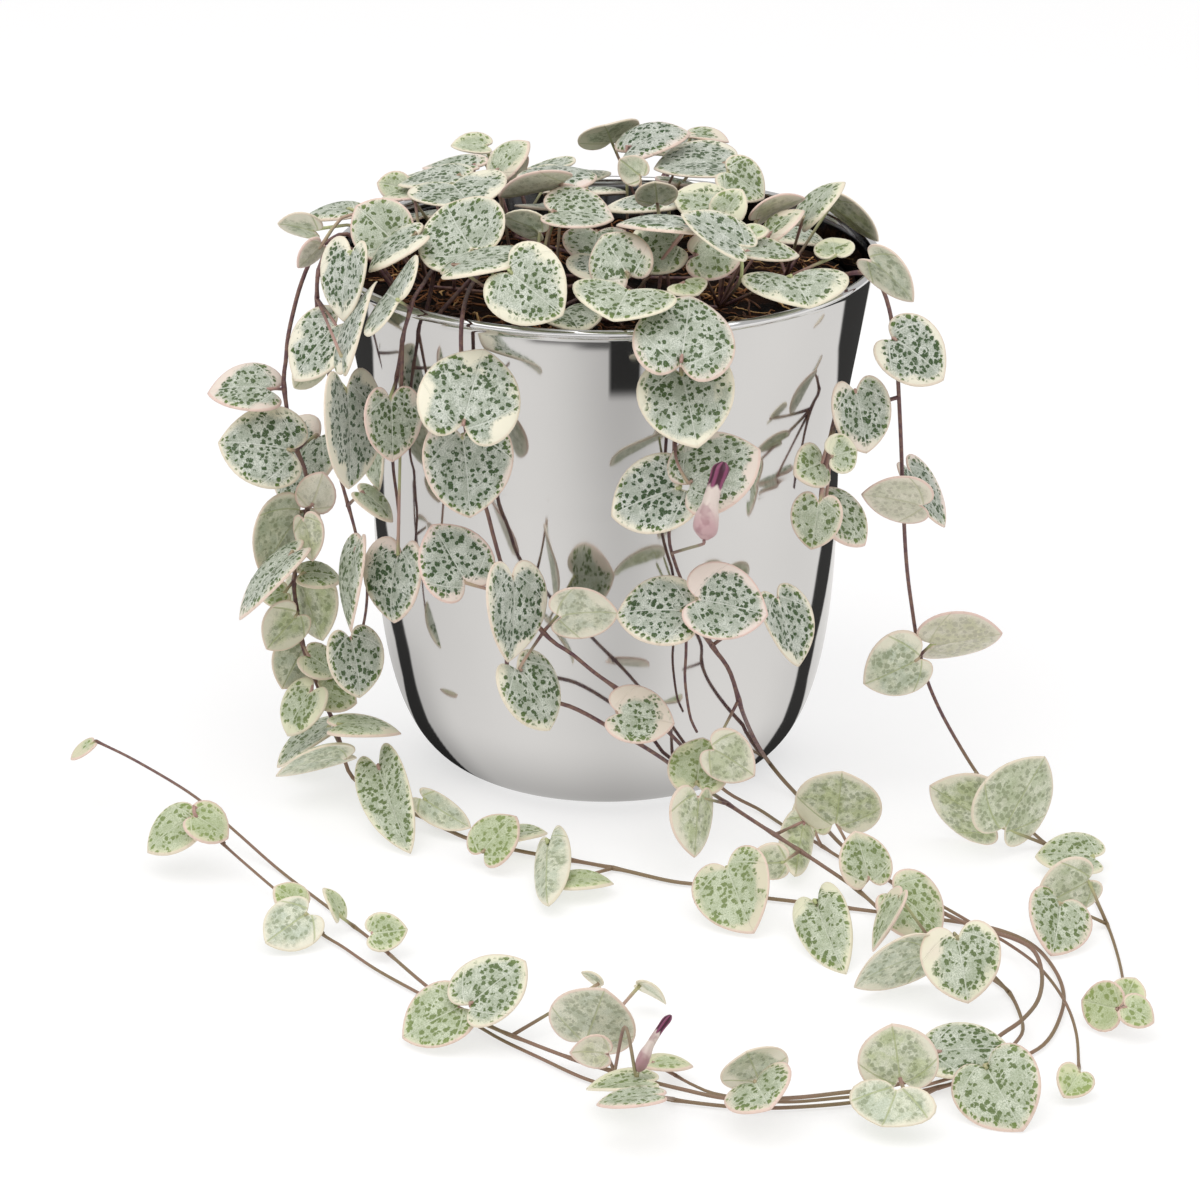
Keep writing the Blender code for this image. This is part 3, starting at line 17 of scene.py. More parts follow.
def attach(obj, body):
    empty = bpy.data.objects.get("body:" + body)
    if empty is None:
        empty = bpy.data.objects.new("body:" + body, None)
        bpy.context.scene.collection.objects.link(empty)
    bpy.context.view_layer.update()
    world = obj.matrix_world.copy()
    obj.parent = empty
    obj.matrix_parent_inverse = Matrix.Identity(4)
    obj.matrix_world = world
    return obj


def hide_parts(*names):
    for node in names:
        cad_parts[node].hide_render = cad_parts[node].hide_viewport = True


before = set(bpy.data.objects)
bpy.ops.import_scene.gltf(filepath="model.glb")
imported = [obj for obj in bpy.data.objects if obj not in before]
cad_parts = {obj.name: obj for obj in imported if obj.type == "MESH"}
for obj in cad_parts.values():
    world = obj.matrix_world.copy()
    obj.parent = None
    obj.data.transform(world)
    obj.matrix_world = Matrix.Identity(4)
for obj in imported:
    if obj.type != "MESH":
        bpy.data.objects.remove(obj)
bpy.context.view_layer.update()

MM = 0.001

# The pot: a thin tapering wall that rounds into a narrow foot
RIM_RADIUS = 60.0 * MM
POT_HEIGHT = 118.0 * MM
BOWL_TOP = 76.8 * MM
BOWL_TOP_RADIUS = 51.9 * MM
FOOT_RADIUS = 23.4 * MM
BOWL_POWER = 3.2
WALL = 1.2 * MM
INSIDE_FLOOR = 1.8 * MM
LIP_RADIUS = 0.9 * MM
LIP_UNDER = 2.4 * LIP_RADIUS
POT_STEPS = 36
BOWL_POINTS = 8

# The soil, and the holes that the stems stand in
SOIL_DROP = 10.0 * MM
SOIL_GAP = 0.3 * MM
SOIL_RELIEF = 0.8 * MM
HOLE_RADIUS = 1.5 * MM
HOLE_DEPTH = 9.0 * MM
SOIL_TOP = POT_HEIGHT - SOIL_DROP

# Stems, leaf stalks and leaves
STEM_RADIUS = 0.55 * MM
STEM_FINE = 2.0 * MM
STEM_SAG = 0.40 * MM
STEM_LONGEST = 10
STEM_LAY = 0.3 * MM
STEM_PITCH = 2.1 * MM
HUMP_PASSES = 3
HUMP_NEAR = 2.8 * MM
HUMP_TOP = 12.0 * MM
HUMP_FLAT = 4.5 * MM
HUMP_SLOPE = 0.22
STALK_RADIUS = 0.42 * MM
STALK_RISE = 3.6 * MM
STALK_BACK = 2.5 * MM
STALK_SHORT = 4.5 * MM
STALK_STARTS = 14
STALK_TESTS = 6
TIP_REST = 1.3 * MM
LONGEST_LEAF = 26.0 * MM
MOST_BREADTH = 1.8
MOST_ROLL = math.radians(35.0)
STALK_BOWS = (0.0, 5.0 * MM, 10.0 * MM, -3.0 * MM, 15.0 * MM)
BLADE_CLEARANCE = 1.7 * MM
BLADE_FOLD = 0.13
BLADE_DROOP = 0.10
LEAF_WIDTH = 1.12
SPARE = 0.4 * MM
STALK_COST = 0.5
LEAST_TILT = 0.14
ROOT_RADIUS = 46.0 * MM
ROOT_RISES = (-0.7 * HOLE_DEPTH, -0.1 * HOLE_DEPTH, 1.5 * MM)
ROOTED_POINTS = 6
FAR_FROM_ROOT = 9.0 * MM
RIM_KNEE = 5.0 * MM
KNEE_DROP = 1.0 * MM

# Where a leaf's solid starts, and its outline from the notch to the tip, in leaf lengths
LEAF_MIDDLE = (0.36, 0.0)
LEAF_SIDE = [(-0.17, 0.52), (0.22, 1.05), (0.76, 0.74)]

# How places are searched: steps, tries and what each fault counts
WALL_STEPS = 800
DOME_STEPS = 600
CURVE_PARTS = 8
CLEAR_TRIES = 60
POT_CLEARANCE = 0.8 * MM
SKIN = 1.9
POT_FAULT = 3
OWN_LEAF_FAULT = 0.35
OTHER_LEAF_FAULT = 3
CORNER_FAULT = 4
STALK_FAULT = 6
SLIDES = 50
SLIDE_STEP = 0.9 * MM
NOTCH_AHEAD = 1.2 * MM
FLOWER_SLIDES = 40
FLOWER_STARTS = 20
FLOWER_FAULT = 20

# The crown: leaves over a low dome of stems
DOME_EDGE = 4.0 * MM
DOME_RISE = 15.0 * MM
CROWN_LEAN = 0.15
VIEW_LEAN = 0.08
CROWN_SPOKES = 9
CROWN_REACH = 38.0 * MM
CROWN_HEART = (1.0 * MM, 2.0 * MM)
SPOKE_LIFT = 3.0 * MM
SPOKE_SPREAD = 0.2
SPOKE_BEND = 0.35
SPOKE_REACHES = (0.9, 1.05)
HIDDEN_LEAVES = 5
LOW_LEAVES = 13
LOW_DROP = 7.0 * MM
LOW_SHOWN = 3
RULE_TRIES = 900
RULE_LENGTHS = (12.0, 17.0)
RULE_PLACES = (0.02, 0.95)
RULE_TWIST = 0.9
RULE_SINK = 6.0
FAR_LEAN = (0.1, 0.7)
LOW_LEAN = (0.0, 0.3)
SEED = 11

# The viewpoint, and the scale of a picture 1200 pixels wide
VIEW_DISTANCE = 0.900
VIEW_PITCH = math.radians(21.5)
VIEW_AIM = Vector((-1.2, 0.0, 35.5)) * MM
FOCAL_PIXELS = 3986.0
PICTURE_MIDDLE = 600.0

VIEW_FORWARD = Vector((0.0, math.cos(VIEW_PITCH), -math.sin(VIEW_PITCH)))
VIEW_RIGHT = Vector((1.0, 0.0, 0.0))
VIEW_UP = VIEW_RIGHT.cross(VIEW_FORWARD)
EYE = VIEW_AIM - VIEW_DISTANCE * VIEW_FORWARD

# A stem's pick: a pixel, what its line of sight meets, and a distance in millimetres
Pick = namedtuple("Pick", "x y rule value")
# A leaf's pick: the pixels of its notch and tip, its width there, and the face that shows
Leaf = namedtuple("Leaf", "x y tip_x tip_y width face", defaults=["top"])
Blade = namedtuple("Blade", "notch along across normal length breadth")
# A flower's pick: the pixels of its base and its tip, and its widest part in millimetres
Flower = namedtuple("Flower", "node x y end_x end_y width")
UNDER = "under"
FLAT = "flat"


def over(x, y, lift):
    """A point this many millimetres above the rim."""
    return Pick(x, y, "over", lift)


def wall(x, y, gap):
    """A point this many millimetres off the pot's wall."""
    return Pick(x, y, "wall", gap)


def out(x, y, depth):
    """A free-hanging point at this depth along Y."""
    return Pick(x, y, "out", depth)


def up(x, y, height):
    """A point at this height over the floor."""
    return Pick(x, y, "up", height)


def free(x, y):
    """A point whose depth lies between those of its neighbours."""
    return Pick(x, y, "free", 0.0)


def leaf_rows(*rows):
    """The picks of a stem's leaves."""
    return [Leaf(*row) for row in rows]


def lying(*places):
    """Points of a stem that lies on the floor."""
    return [Pick(x, y, "floor", 0.0) for x, y in places]


LEFT_LONG = [
    over(347, 234, 3.5), over(326, 243, 2.5), out(312, 258, -5), free(301, 284), free(294, 309),
    free(288, 337), out(286, 359, -10), free(284, 387), free(293, 440), free(305, 470),
    free(308, 504), out(303, 526, -15), free(298, 554), free(294, 583), free(296, 605),
    free(299, 627), free(305, 653), out(314, 677, -20), free(325, 703), free(335, 726),
    free(343, 754), up(350, 774, 1.5),
] + lying(
    (364, 787), (389, 803), (424, 818), (469, 839), (520, 851), (565, 859), (618, 869), (670, 881),
    (709, 886), (744, 895), (808, 903), (871, 911), (951, 921), (999, 930), (1034, 946),
    (1056, 972), (1064, 997), (1059, 1020), (1048, 1040), (1031, 1053), (994, 1069), (941, 1087),
    (887, 1096), (839, 1104), (757, 1108), (681, 1101), (630, 1091), (586, 1079), (540, 1058),
    (502, 1040), (476, 1025), (424, 996), (377, 970), (343, 947), (321, 933), (301, 911),
) + [up(264, 880, 3), up(220, 841, 6), up(197, 815, 8)]

LEFT_LONG_LEAVES = leaf_rows(
    (271, 389, 208, 385, 46), (292, 450, 219, 437, 80), (317, 434, 271, 493, 62),
    (298, 512, 256, 571, 58, UNDER), (312, 505, 325, 472, 40, UNDER),
    (306, 520, 318, 560, 28, UNDER), (293, 552, 231, 611, 24), (303, 582, 325, 640, 48, UNDER),
    (303, 573, 342, 574, 26), (285, 592, 262, 600, 26), (296, 615, 265, 648, 44, UNDER),
    (302, 648, 280, 688, 44, UNDER), (308, 655, 338, 675, 34), (312, 690, 283, 733, 40),
    (322, 690, 358, 700, 38), (338, 724, 401, 723, 22), (330, 727, 273, 760, 22),
    (343, 752, 274, 764, 20, UNDER), (378, 766, 405, 846, 44), (424, 800, 471, 832, 26, UNDER),
    (483, 852, 514, 814, 46), (503, 838, 546, 827, 16), (548, 840, 552, 909, 34, UNDER),
    (567, 881, 613, 876, 18), (728, 868, 749, 930, 66), (815, 900, 838, 965, 46),
    (900, 1080, 895, 1021, 78, UNDER), (897, 1092, 882, 1131, 88, UNDER),
    (937, 1052, 1012, 1045, 54), (985, 1065, 1020, 1125, 74), (648, 1084, 586, 1085, 20),
    (656, 1096, 596, 1099, 18), (307, 914, 264, 944, 46, UNDER), (300, 905, 276, 884, 32),
    (190, 819, 144, 846, 42), (195, 816, 230, 836, 40),
)

FRONT_LEFT = [
    over(480, 270, 1), over(469, 290, 1.5), over(463, 312, 2), wall(461, 336, 2), wall(462, 370, 2),
    wall(465, 420, 2), wall(474, 470, 2), wall(487, 511, 2), wall(494, 538, 3), wall(505, 574, 4),
    wall(524, 608, 6), wall(550, 639, 7), wall(572, 654, 7), wall(595, 673, 7), wall(631, 699, 6),
    wall(666, 730, 5), wall(681, 745, 5), up(723, 789, 4),
] + lying(
    (760, 810), (786, 827), (817, 843), (839, 857), (871, 873), (903, 887), (940, 905), (975, 925),
    (1010, 945), (1040, 968), (1064, 1000), (1076, 1032), (1079, 1068),
)
FRONT_LEFT_BRANCH = [
    wall(505, 574, 4), wall(507, 600, 3), wall(507, 640, 3), wall(508, 676, 4), wall(520, 695, 5),
    wall(569, 706, 5), wall(616, 731, 5), wall(654, 753, 4), up(700, 785, 4),
] + lying(
    (740, 812), (780, 838), (820, 864), (860, 892), (900, 928), (940, 951), (969, 961), (994, 980),
    (1008, 991), (1018, 1009), (1023, 1029), (1016, 1042), (1000, 1056), (960, 1075), (900, 1091),
    (839, 1098), (780, 1102), (721, 1095), (693, 1085), (663, 1068),
)
FRONT_LEFT_LEAVES = leaf_rows(
    (463, 425, 483, 343, 100), (462, 435, 472, 518, 88), (466, 583, 432, 524, 72),
    (512, 576, 517, 662, 56), (560, 613, 618, 606, 50, UNDER), (520, 667, 556, 727, 58),
    (617, 713, 675, 722, 56), (697, 784, 702, 734, 60), (697, 797, 690, 857, 42, UNDER),
    (815, 832, 800, 797, 36), (803, 822, 790, 880, 30, UNDER), (868, 879, 858, 830, 50),
    (783, 862, 747, 862, 36, UNDER), (895, 892, 944, 930, 62), (901, 899, 870, 950, 18),
    (925, 950, 850, 975, 42, UNDER), (957, 936, 970, 1000, 78), (1079, 1073, 1065, 1096, 38),
    (652, 1063, 693, 1061, 16), (757, 1075, 745, 1044, 68, UNDER), (755, 1082, 768, 1103, 72),
)

FRONT_MIDDLE = [
    over(694, 285, 2), over(690, 304, 2.5), over(687, 322, 2.5), wall(684, 345, 3),
    wall(680, 380, 3), wall(676, 430, 3), wall(672, 480, 3), wall(669, 536, 3), wall(675, 563, 3),
    wall(682, 583, 3),
    wall(686, 611, 4), wall(686, 653, 4), wall(685, 680, 4), wall(690, 716, 4), wall(697, 732, 4),
]
FRONT_MIDDLE_BRANCH = [
    wall(686, 611, 4), wall(699, 626, 5), wall(715, 650, 6), wall(730, 672, 7), wall(744, 716, 8),
    up(760, 749, 7), up(779, 775, 3),
] + lying(
    (798, 796), (823, 825), (845, 848), (880, 874), (916, 898), (969, 925), (1012, 938),
    (1034, 951), (1042, 975), (1038, 1000), (1022, 1020), (1002, 1034), (978, 1052), (940, 1071),
    (890, 1086),
    (839, 1093), (790, 1098), (732, 1099), (681, 1089), (630, 1076), (579, 1061), (528, 1042),
    (484, 1023), (433, 991), (377, 944), (321, 902), (278, 869),
) + [up(236, 832, 4), up(194, 796, 8), up(138, 762, 12), up(96, 741, 15)]
FRONT_MIDDLE_LEAVES = leaf_rows(
    (681, 362, 693, 287, 100), (681, 372, 700, 442, 95), (681, 487, 609, 510, 76),
    (688, 483, 756, 442, 78), (685, 611, 616, 608, 68), (697, 600, 769, 611, 74),
    (775, 600, 803, 665, 46), (714, 748, 757, 772, 50, UNDER), (836, 822, 844, 767, 84, UNDER),
    (340, 916, 328, 886, 16), (372, 934, 408, 930, 38), (460, 1008, 401, 1035, 60),
    (470, 1005, 525, 960, 64), (587, 1038, 606, 985, 86, UNDER), (606, 1052, 570, 1048, 32, UNDER),
    (600, 983, 584, 969, 9, UNDER), (641, 984, 669, 998, 10, UNDER), (92, 744, 70, 758, 12),
)

LEFT_INNER = [
    over(338, 244, 3.5), over(326, 252, 3), out(318, 274, -25), free(317, 300), out(318, 330, -20),
    free(325, 352), free(329, 370), out(331, 400, -21), free(333, 451), free(343, 487),
    out(354, 526, -27), free(362, 560), out(367, 583, -30), free(366, 610), out(361, 636, -30),
]
LEFT_INNER_LEAVES = leaf_rows(
    (351, 251, 336, 320, 44), (336, 325, 290, 377, 56), (318, 362, 292, 386, 30, UNDER),
    (343, 360, 364, 278, 16), (345, 388, 358, 488, 58), (362, 492, 396, 518, 22),
    (356, 548, 340, 631, 20), (350, 638, 364, 697, 54), (375, 437, 376, 491, 22),
)

LEFT_WALL = [
    over(434, 271, 2), over(422, 286, 2.5), over(413, 300, 2.5), wall(408, 318, 3),
    wall(404, 332, 2), wall(400, 357, 2), wall(394, 397, 2), wall(393, 430, 2), wall(393, 465, 2),
    wall(397, 498, 2), wall(399, 521, 2), wall(397, 547, 2),
]
LEFT_WALL_LEAVES = leaf_rows(
    (398, 300, 380, 288, 92), (390, 398, 393, 462, 56), (398, 551, 386, 622, 56),
)

RIGHT_OUTER = [
    over(864, 272, 3), out(880, 284, -25), free(890, 312), free(894, 343), free(897, 364),
    out(899, 399, -26), free(901, 442), free(903, 498), free(906, 557), out(911, 601, -27),
    free(921, 660), out(937, 704, -26), up(961, 748, 9), up(984, 783, 2),
] + lying(
    (1011, 813), (1040, 839), (1075, 873), (1091, 892), (1107, 924), (1117, 953), (1123, 981),
    (1123, 1004),
)
RIGHT_OUTER_BRANCH = [
    out(899, 399, -26), free(885, 400), free(868, 402), wall(850, 404, 4), wall(836, 417, 3),
    wall(829, 442, 3), wall(825, 462, 3), wall(822, 481, 3), wall(820, 497, 3),
]
RIGHT_OUTER_LEAVES = leaf_rows(
    (873, 258, 919, 295, 36, UNDER), (893, 338, 948, 374, 64), (855, 390, 869, 453, 58),
    (822, 462, 799, 472, 46), (832, 456, 859, 448, 40), (820, 502, 812, 550, 50),
    (826, 502, 870, 540, 44), (921, 503, 863, 488, 44, UNDER), (908, 470, 949, 524, 28),
    (932, 644, 1001, 628, 44, UNDER), (918, 659, 863, 683, 60, UNDER),
    (993, 824, 934, 780, 62, UNDER), (1003, 827, 1040, 754, 68, UNDER), (1094, 857, 1036, 850, 40),
    (1088, 880, 1034, 905, 50, UNDER), (1060, 903, 1055, 952, 60), (1117, 1009, 1080, 1000, 50),
    (1124, 1003, 1135, 976, 36), (1126, 1007, 1155, 1020, 32),
)

CROWN_LEAVES = leaf_rows(
    (486, 147, 451, 143, 20), (497, 171, 525, 138, 30), (474, 166, 421, 163, 27, FLAT),
    (460, 176, 397, 178, 28, FLAT), (404, 188, 377, 182, 30), (414, 194, 380, 193, 20, FLAT),
    (452, 186, 474, 205, 94, FLAT), (350, 209, 300, 211, 26, FLAT), (315, 230, 279, 219, 24, UNDER),
    (320, 247, 296, 266, 20, UNDER), (394, 241, 356, 204, 62), (473, 251, 441, 202, 92),
    (416, 234, 364, 264, 26), (455, 266, 543, 241, 20), (509, 271, 560, 312, 82),
    (552, 182, 568, 158, 76, FLAT), (562, 184, 498, 191, 20, UNDER), (553, 212, 614, 212, 48, FLAT),
    (505, 173, 528, 156, 24, UNDER), (628, 275, 600, 231, 64), (629, 291, 612, 316, 100, FLAT),
    (676, 243, 622, 252, 54), (695, 255, 742, 258, 46), (683, 283, 698, 292, 68, FLAT),
    (723, 217, 740, 188, 36), (722, 210, 674, 192, 42), (726, 164, 654, 160, 48, FLAT),
    (716, 148, 650, 144, 24, FLAT), (728, 172, 766, 196, 42), (627, 148, 686, 123, 32),
    (692, 135, 729, 139, 18, FLAT), (611, 140, 604, 118, 62, UNDER),
    (657, 201, 655, 178, 42, UNDER), (670, 203, 603, 203, 22, FLAT), (688, 226, 618, 214, 14),
    (740, 248, 684, 210, 36), (747, 252, 800, 252, 28, FLAT), (790, 276, 808, 301, 122, FLAT),
    (835, 256, 833, 236, 40), (803, 219, 837, 176, 24), (758, 217, 801, 191, 18, UNDER),
    (770, 234, 800, 206, 22), (746, 233, 769, 228, 16), (832, 204, 882, 236, 22, UNDER),
    (640, 176, 620, 158, 30, UNDER), (540, 230, 504, 212, 26, UNDER),
)

FLOWERS = {
    "strand_front_middle": [
        Flower("flower_upper", 704, 540, 724, 462, 5.2),
        Flower("flower_lower", 638, 1072, 671, 1015, 2.4),
    ],
    "strand_right_outer": [Flower("flower_bud", 970, 796, 993, 818, 2.6)],
}
FLOWER_SHOWN = 0.7
# A flower's width, in shares of its widest, from its base to its tip
FLOWER_FORM = [
    (0.0, 0.35), (0.10, 0.95), (0.28, 0.95), (0.44, 0.66), (0.70, 0.64), (0.90, 0.70), (1.0, 0.4),
]

# Where the picture shows bare soil: left, top, right and bottom pixels
BARE_SOIL = [(395, 272, 505, 330), (690, 262, 870, 330)]

BACK_STRANDS = {"strand_back_left": (112.0, 74.0 * MM), "strand_back_right": (76.0, 62.0 * MM)}
BACK_STEP = 11.0 * MM
BACK_WAVE = 4.0 * MM
BACK_LEAF = 15.0 * MM
BACK_OFF = 2.6 * MM
BACK_WAVES = 1.3
BACK_TILT = 0.35
BACK_TURN = 0.2
BACK_SHRINK = 0.06


def level(turn):
    """The level direction at this angle round the pot's axis."""
    return Vector((math.cos(turn), math.sin(turn), 0.0))


def upright(height):
    """A point this high on the pot's axis."""
    return Vector((0.0, 0.0, height))


def soft_step(value, low, high):
    """0 below low, 1 above high, and smooth between. With low above high it falls."""
    share = min(1.0, max(0.0, (value - low) / (high - low)))
    return share * share * (3.0 - 2.0 * share)


def sight(x, y):
    """The direction in which the viewpoint sees this pixel."""
    ahead = FOCAL_PIXELS * VIEW_FORWARD
    aside = (x - PICTURE_MIDDLE) * VIEW_RIGHT + (PICTURE_MIDDLE - y) * VIEW_UP
    return (ahead + aside).normalized()


def pixel_of(point):
    """The pixel where the viewpoint sees this point."""
    ray = point - EYE
    scale = FOCAL_PIXELS / ray.dot(VIEW_FORWARD)
    return (PICTURE_MIDDLE + scale * ray.dot(VIEW_RIGHT), PICTURE_MIDDLE - scale * ray.dot(VIEW_UP))


def at_height(x, y, height):
    """The point of a pixel's sight line at this height."""
    ray = sight(x, y)
    return EYE + ray * ((height - EYE.z) / ray.z)


def at_depth(x, y, depth):
    """The point of a pixel's sight line at this distance along Y."""
    ray = sight(x, y)
    return EYE + ray * ((depth - EYE.y) / ray.y)


def wall_radius(height):
    """The radius of the pot's outside at this height."""
    if height >= BOWL_TOP:
        share = (height - BOWL_TOP) / (POT_HEIGHT - BOWL_TOP)
        return BOWL_TOP_RADIUS + share * (RIM_RADIUS - LIP_RADIUS - BOWL_TOP_RADIUS)
    drop = min(1.0, 1.0 - max(height, 0.0) / BOWL_TOP)
    across = (1.0 - drop**BOWL_POWER) ** (1.0 / BOWL_POWER)
    return FOOT_RADIUS + (BOWL_TOP_RADIUS - FOOT_RADIUS) * across


def from_axis(point):
    """How far a point lies from the pot's axis."""
    return math.hypot(point.x, point.y)


def first_meeting(x, y, near, reach, steps, off):
    """The first point of a sight line where it is off by nothing, or else the least off."""
    ray = sight(x, y)
    best = None
    for step in range(steps):
        point = EYE + ray * (near + reach * step / steps)
        away = off(point)
        if away <= 0.0:
            return point
        if best is None or away < best[0]:
            best = (away, point)
    return best[1]


def at_wall(x, y, gap):
    """Where a sight line comes this near to the pot's wall, or else its nearest point to it."""
    def off(point):
        return from_axis(point) - wall_radius(min(point.z, POT_HEIGHT)) - gap

    near = VIEW_DISTANCE - 2.0 * RIM_RADIUS
    return first_meeting(x, y, near, 3.0 * RIM_RADIUS, WALL_STEPS, off)


def dome_height(point):
    """The height of the crown's surface of leaves above a point's place in plan."""
    share = (from_axis(point) / RIM_RADIUS) ** 2
    return POT_HEIGHT + DOME_EDGE + DOME_RISE * (1.0 - share)


def at_dome(x, y):
    """Where a sight line meets the crown's surface of leaves, or else its nearest point to it."""
    def off(point):
        return point.z - dome_height(point)

    near = VIEW_DISTANCE - 2.5 * RIM_RADIUS
    return first_meeting(x, y, near, 4.0 * RIM_RADIUS, DOME_STEPS, off)


def placed(pick):
    """The point that a pick names, or None where its neighbours settle the depth."""
    if pick.rule == "over":
        return at_height(pick.x, pick.y, POT_HEIGHT + pick.value * MM)
    if pick.rule == "wall":
        return at_wall(pick.x, pick.y, pick.value * MM + STEM_RADIUS)
    if pick.rule == "out":
        return at_depth(pick.x, pick.y, pick.value * MM)
    if pick.rule == "up":
        return at_height(pick.x, pick.y, pick.value * MM + STEM_RADIUS)
    if pick.rule == "floor":
        return at_height(pick.x, pick.y, STEM_LAY + STEM_RADIUS)
    return None


def route(picks):
    """The points of a stem's picks. A free pick takes the depth between its neighbours."""
    points = [placed(pick) for pick in picks]
    for index, pick in enumerate(picks):
        if points[index] is not None:
            continue
        before = max(i for i in range(index) if picks[i].rule != "free")
        after = min(i for i in range(index, len(picks)) if picks[i].rule != "free")
        share = (index - before) / (after - before)
        depth = points[before].y + share * (points[after].y - points[before].y)
        points[index] = at_depth(pick.x, pick.y, depth)
    return points


def rooted(points):
    """The same stem, starting in its hole in the soil and rising to the rim."""
    first = points[0]
    aim = level(math.atan2(first.y, first.x))
    low = aim * ROOT_RADIUS
    start = [low + upright(SOIL_TOP + rise) for rise in ROOT_RISES]
    if from_axis(first) > ROOT_RADIUS + FAR_FROM_ROOT:
        start.append(aim * (ROOT_RADIUS + RIM_KNEE) + upright(POT_HEIGHT - KNEE_DROP))
    return start + points


def smooth_path(points, step):
    """Points about a step apart along a Catmull-Rom curve through the given ones."""
    ends = [2.0 * points[0] - points[1]] + points + [2.0 * points[-1] - points[-2]]
    fine = []
    for a, b, c, d in zip(ends, ends[1:], ends[2:], ends[3:]):
        for part in range(CURVE_PARTS):
            t = part / CURVE_PARTS
            cubic = -a + 3.0 * b - 3.0 * c + d
            square = 2.0 * a - 5.0 * b + 4.0 * c - d
            fine.append(0.5 * (2.0 * b + (c - a) * t + square * t * t + cubic * t**3))
    fine.append(points[-1])
    lengths = [0.0]
    for a, b in zip(fine, fine[1:]):
        lengths.append(lengths[-1] + (b - a).length)
    count = max(2, round(lengths[-1] / step))
    path = []
    index = 0
    for number in range(count + 1):
        want = lengths[-1] * number / count
        while index < len(fine) - 2 and lengths[index + 1] < want:
            index += 1
        span = max(lengths[index + 1] - lengths[index], 1e-9)
        path.append(fine[index].lerp(fine[index + 1], (want - lengths[index]) / span))
    return path


def strays(path, first, last):
    """How far the points between two others lie from the line that joins them."""
    line = (path[last] - path[first]).normalized()
    offs = [p - path[first] for p in path[first + 1 : last]]
    return max([(off - line * off.dot(line)).length for off in offs], default=0.0)


def thinned(path):
    """The path with fewer points where it runs straight."""
    kept = [path[0]]
    index = 0
    while index < len(path) - 1:
        ahead = index + 1
        for trial in range(index + 2, min(index + STEM_LONGEST, len(path) - 1) + 1):
            if strays(path, index, trial) < STEM_SAG:
                ahead = trial
        kept.append(path[ahead])
        index = ahead
    return kept


def clear_of_pot(point, gap):
    """The point, moved towards the viewpoint until it is this far from the pot."""
    to_eye = (EYE - point).normalized()
    for _ in range(CLEAR_TRIES):
        if point.z > POT_HEIGHT + gap or from_axis(point) > wall_radius(point.z) + gap:
            return point
        if from_axis(point) < RIM_RADIUS - WALL - LIP_RADIUS - gap and point.z > SOIL_TOP:
            return point
        point = point + to_eye * 0.5 * MM
    return point


def hump(path, laid):
    """The path, raised where it lies over stems laid before it, in long low humps."""
    crossings = []
    for point in path:
        near = [o.z for o in laid if (o.xy - point.xy).length < HUMP_NEAR]
        under = [z for z in near if z < HUMP_TOP]
        if under and point.z < max(under) + STEM_PITCH:
            crossings.append((max(under) + STEM_PITCH, point))
    raised = []
    for point in path:
        falls = [
            top - HUMP_SLOPE * max(0.0, (p - point).length - HUMP_FLAT) for top, p in crossings
        ]
        height = max([point.z] + falls)
        raised.append(at_height(*pixel_of(point), height) if height > point.z else point)
    return raised


def leaf_outline(notch):
    """The heart's outline from notch round to notch, along and across, in leaf lengths."""
    half = LEAF_WIDTH / 2.0
    side = [(0.0, notch)] + [(u, v * half) for u, v in LEAF_SIDE]
    other = [(u, -v) for u, v in reversed(side)]
    return side + [(1.0, 0.0)] + other


def on_blade(blade, u, v, lift=0.0):
    """A point of the leaf, folded up along its midrib and drooping to its tip."""
    rise = (BLADE_FOLD * abs(v) - BLADE_DROOP * u * u) * blade.length + lift
    place = blade.notch + blade.along * (u * blade.length) + blade.across * (v * blade.breadth)
    return place + blade.normal * rise


def blade_shape(blade, thickness):
    """Corners and faces of a leaf, split into triangles alike on both faces."""
    rim = leaf_outline(STALK_RADIUS / blade.breadth)
    corners = []
    for lift in (thickness / 2.0, -thickness / 2.0):
        corners += [on_blade(blade, u, v, lift) for u, v in [LEAF_MIDDLE] + rim]
    count = len(rim)
    low = count + 1
    faces = []
    for i in range(count):
        a = 1 + i
        b = 1 + (i + 1) % count
        faces += [(0, b, a), (low, low + a, low + b), (a, b, low + b), (a, low + b, low + a)]
    return corners, faces


def leaf_at(leaf, notch):
    """The leaf with its notch at this point, turned as the picture shows it."""
    if leaf.face == FLAT:
        return flat_leaf(leaf, notch)
    to_eye = (EYE - notch).normalized()
    right = (VIEW_RIGHT - VIEW_RIGHT.dot(to_eye) * to_eye).normalized()
    above = to_eye.cross(right)
    scale = (notch - EYE).dot(VIEW_FORWARD) / FOCAL_PIXELS
    shown = right * (leaf.tip_x - leaf.x) + above * (leaf.y - leaf.tip_y)
    long_shown = shown.length * scale
    wide_shown = leaf.width * scale
    pointing = shown.normalized()
    aside = to_eye.cross(pointing)
    top = -1.0 if leaf.face == UNDER else 1.0
    if wide_shown >= LEAF_WIDTH * long_shown:
        length = wide_shown / LEAF_WIDTH
        cosine = max(long_shown / length, LEAST_TILT)
        side = -1.0 if top * pointing.z > 0.0 else 1.0
        along = pointing * cosine + to_eye * (side * math.sqrt(1.0 - cosine**2))
        across = aside
    else:
        length = long_shown
        cosine = max(wide_shown / (LEAF_WIDTH * length), LEAST_TILT)
        side = -1.0 if top * aside.z > 0.0 else 1.0
        along = pointing
        across = aside * cosine + to_eye * (side * math.sqrt(1.0 - cosine**2))
    normal = top * along.cross(across).normalized()
    across = normal.cross(along).normalized()
    blade = Blade(notch, along.normalized(), across, normal, length, length)
    return resting(leaf, blade, wide_shown)


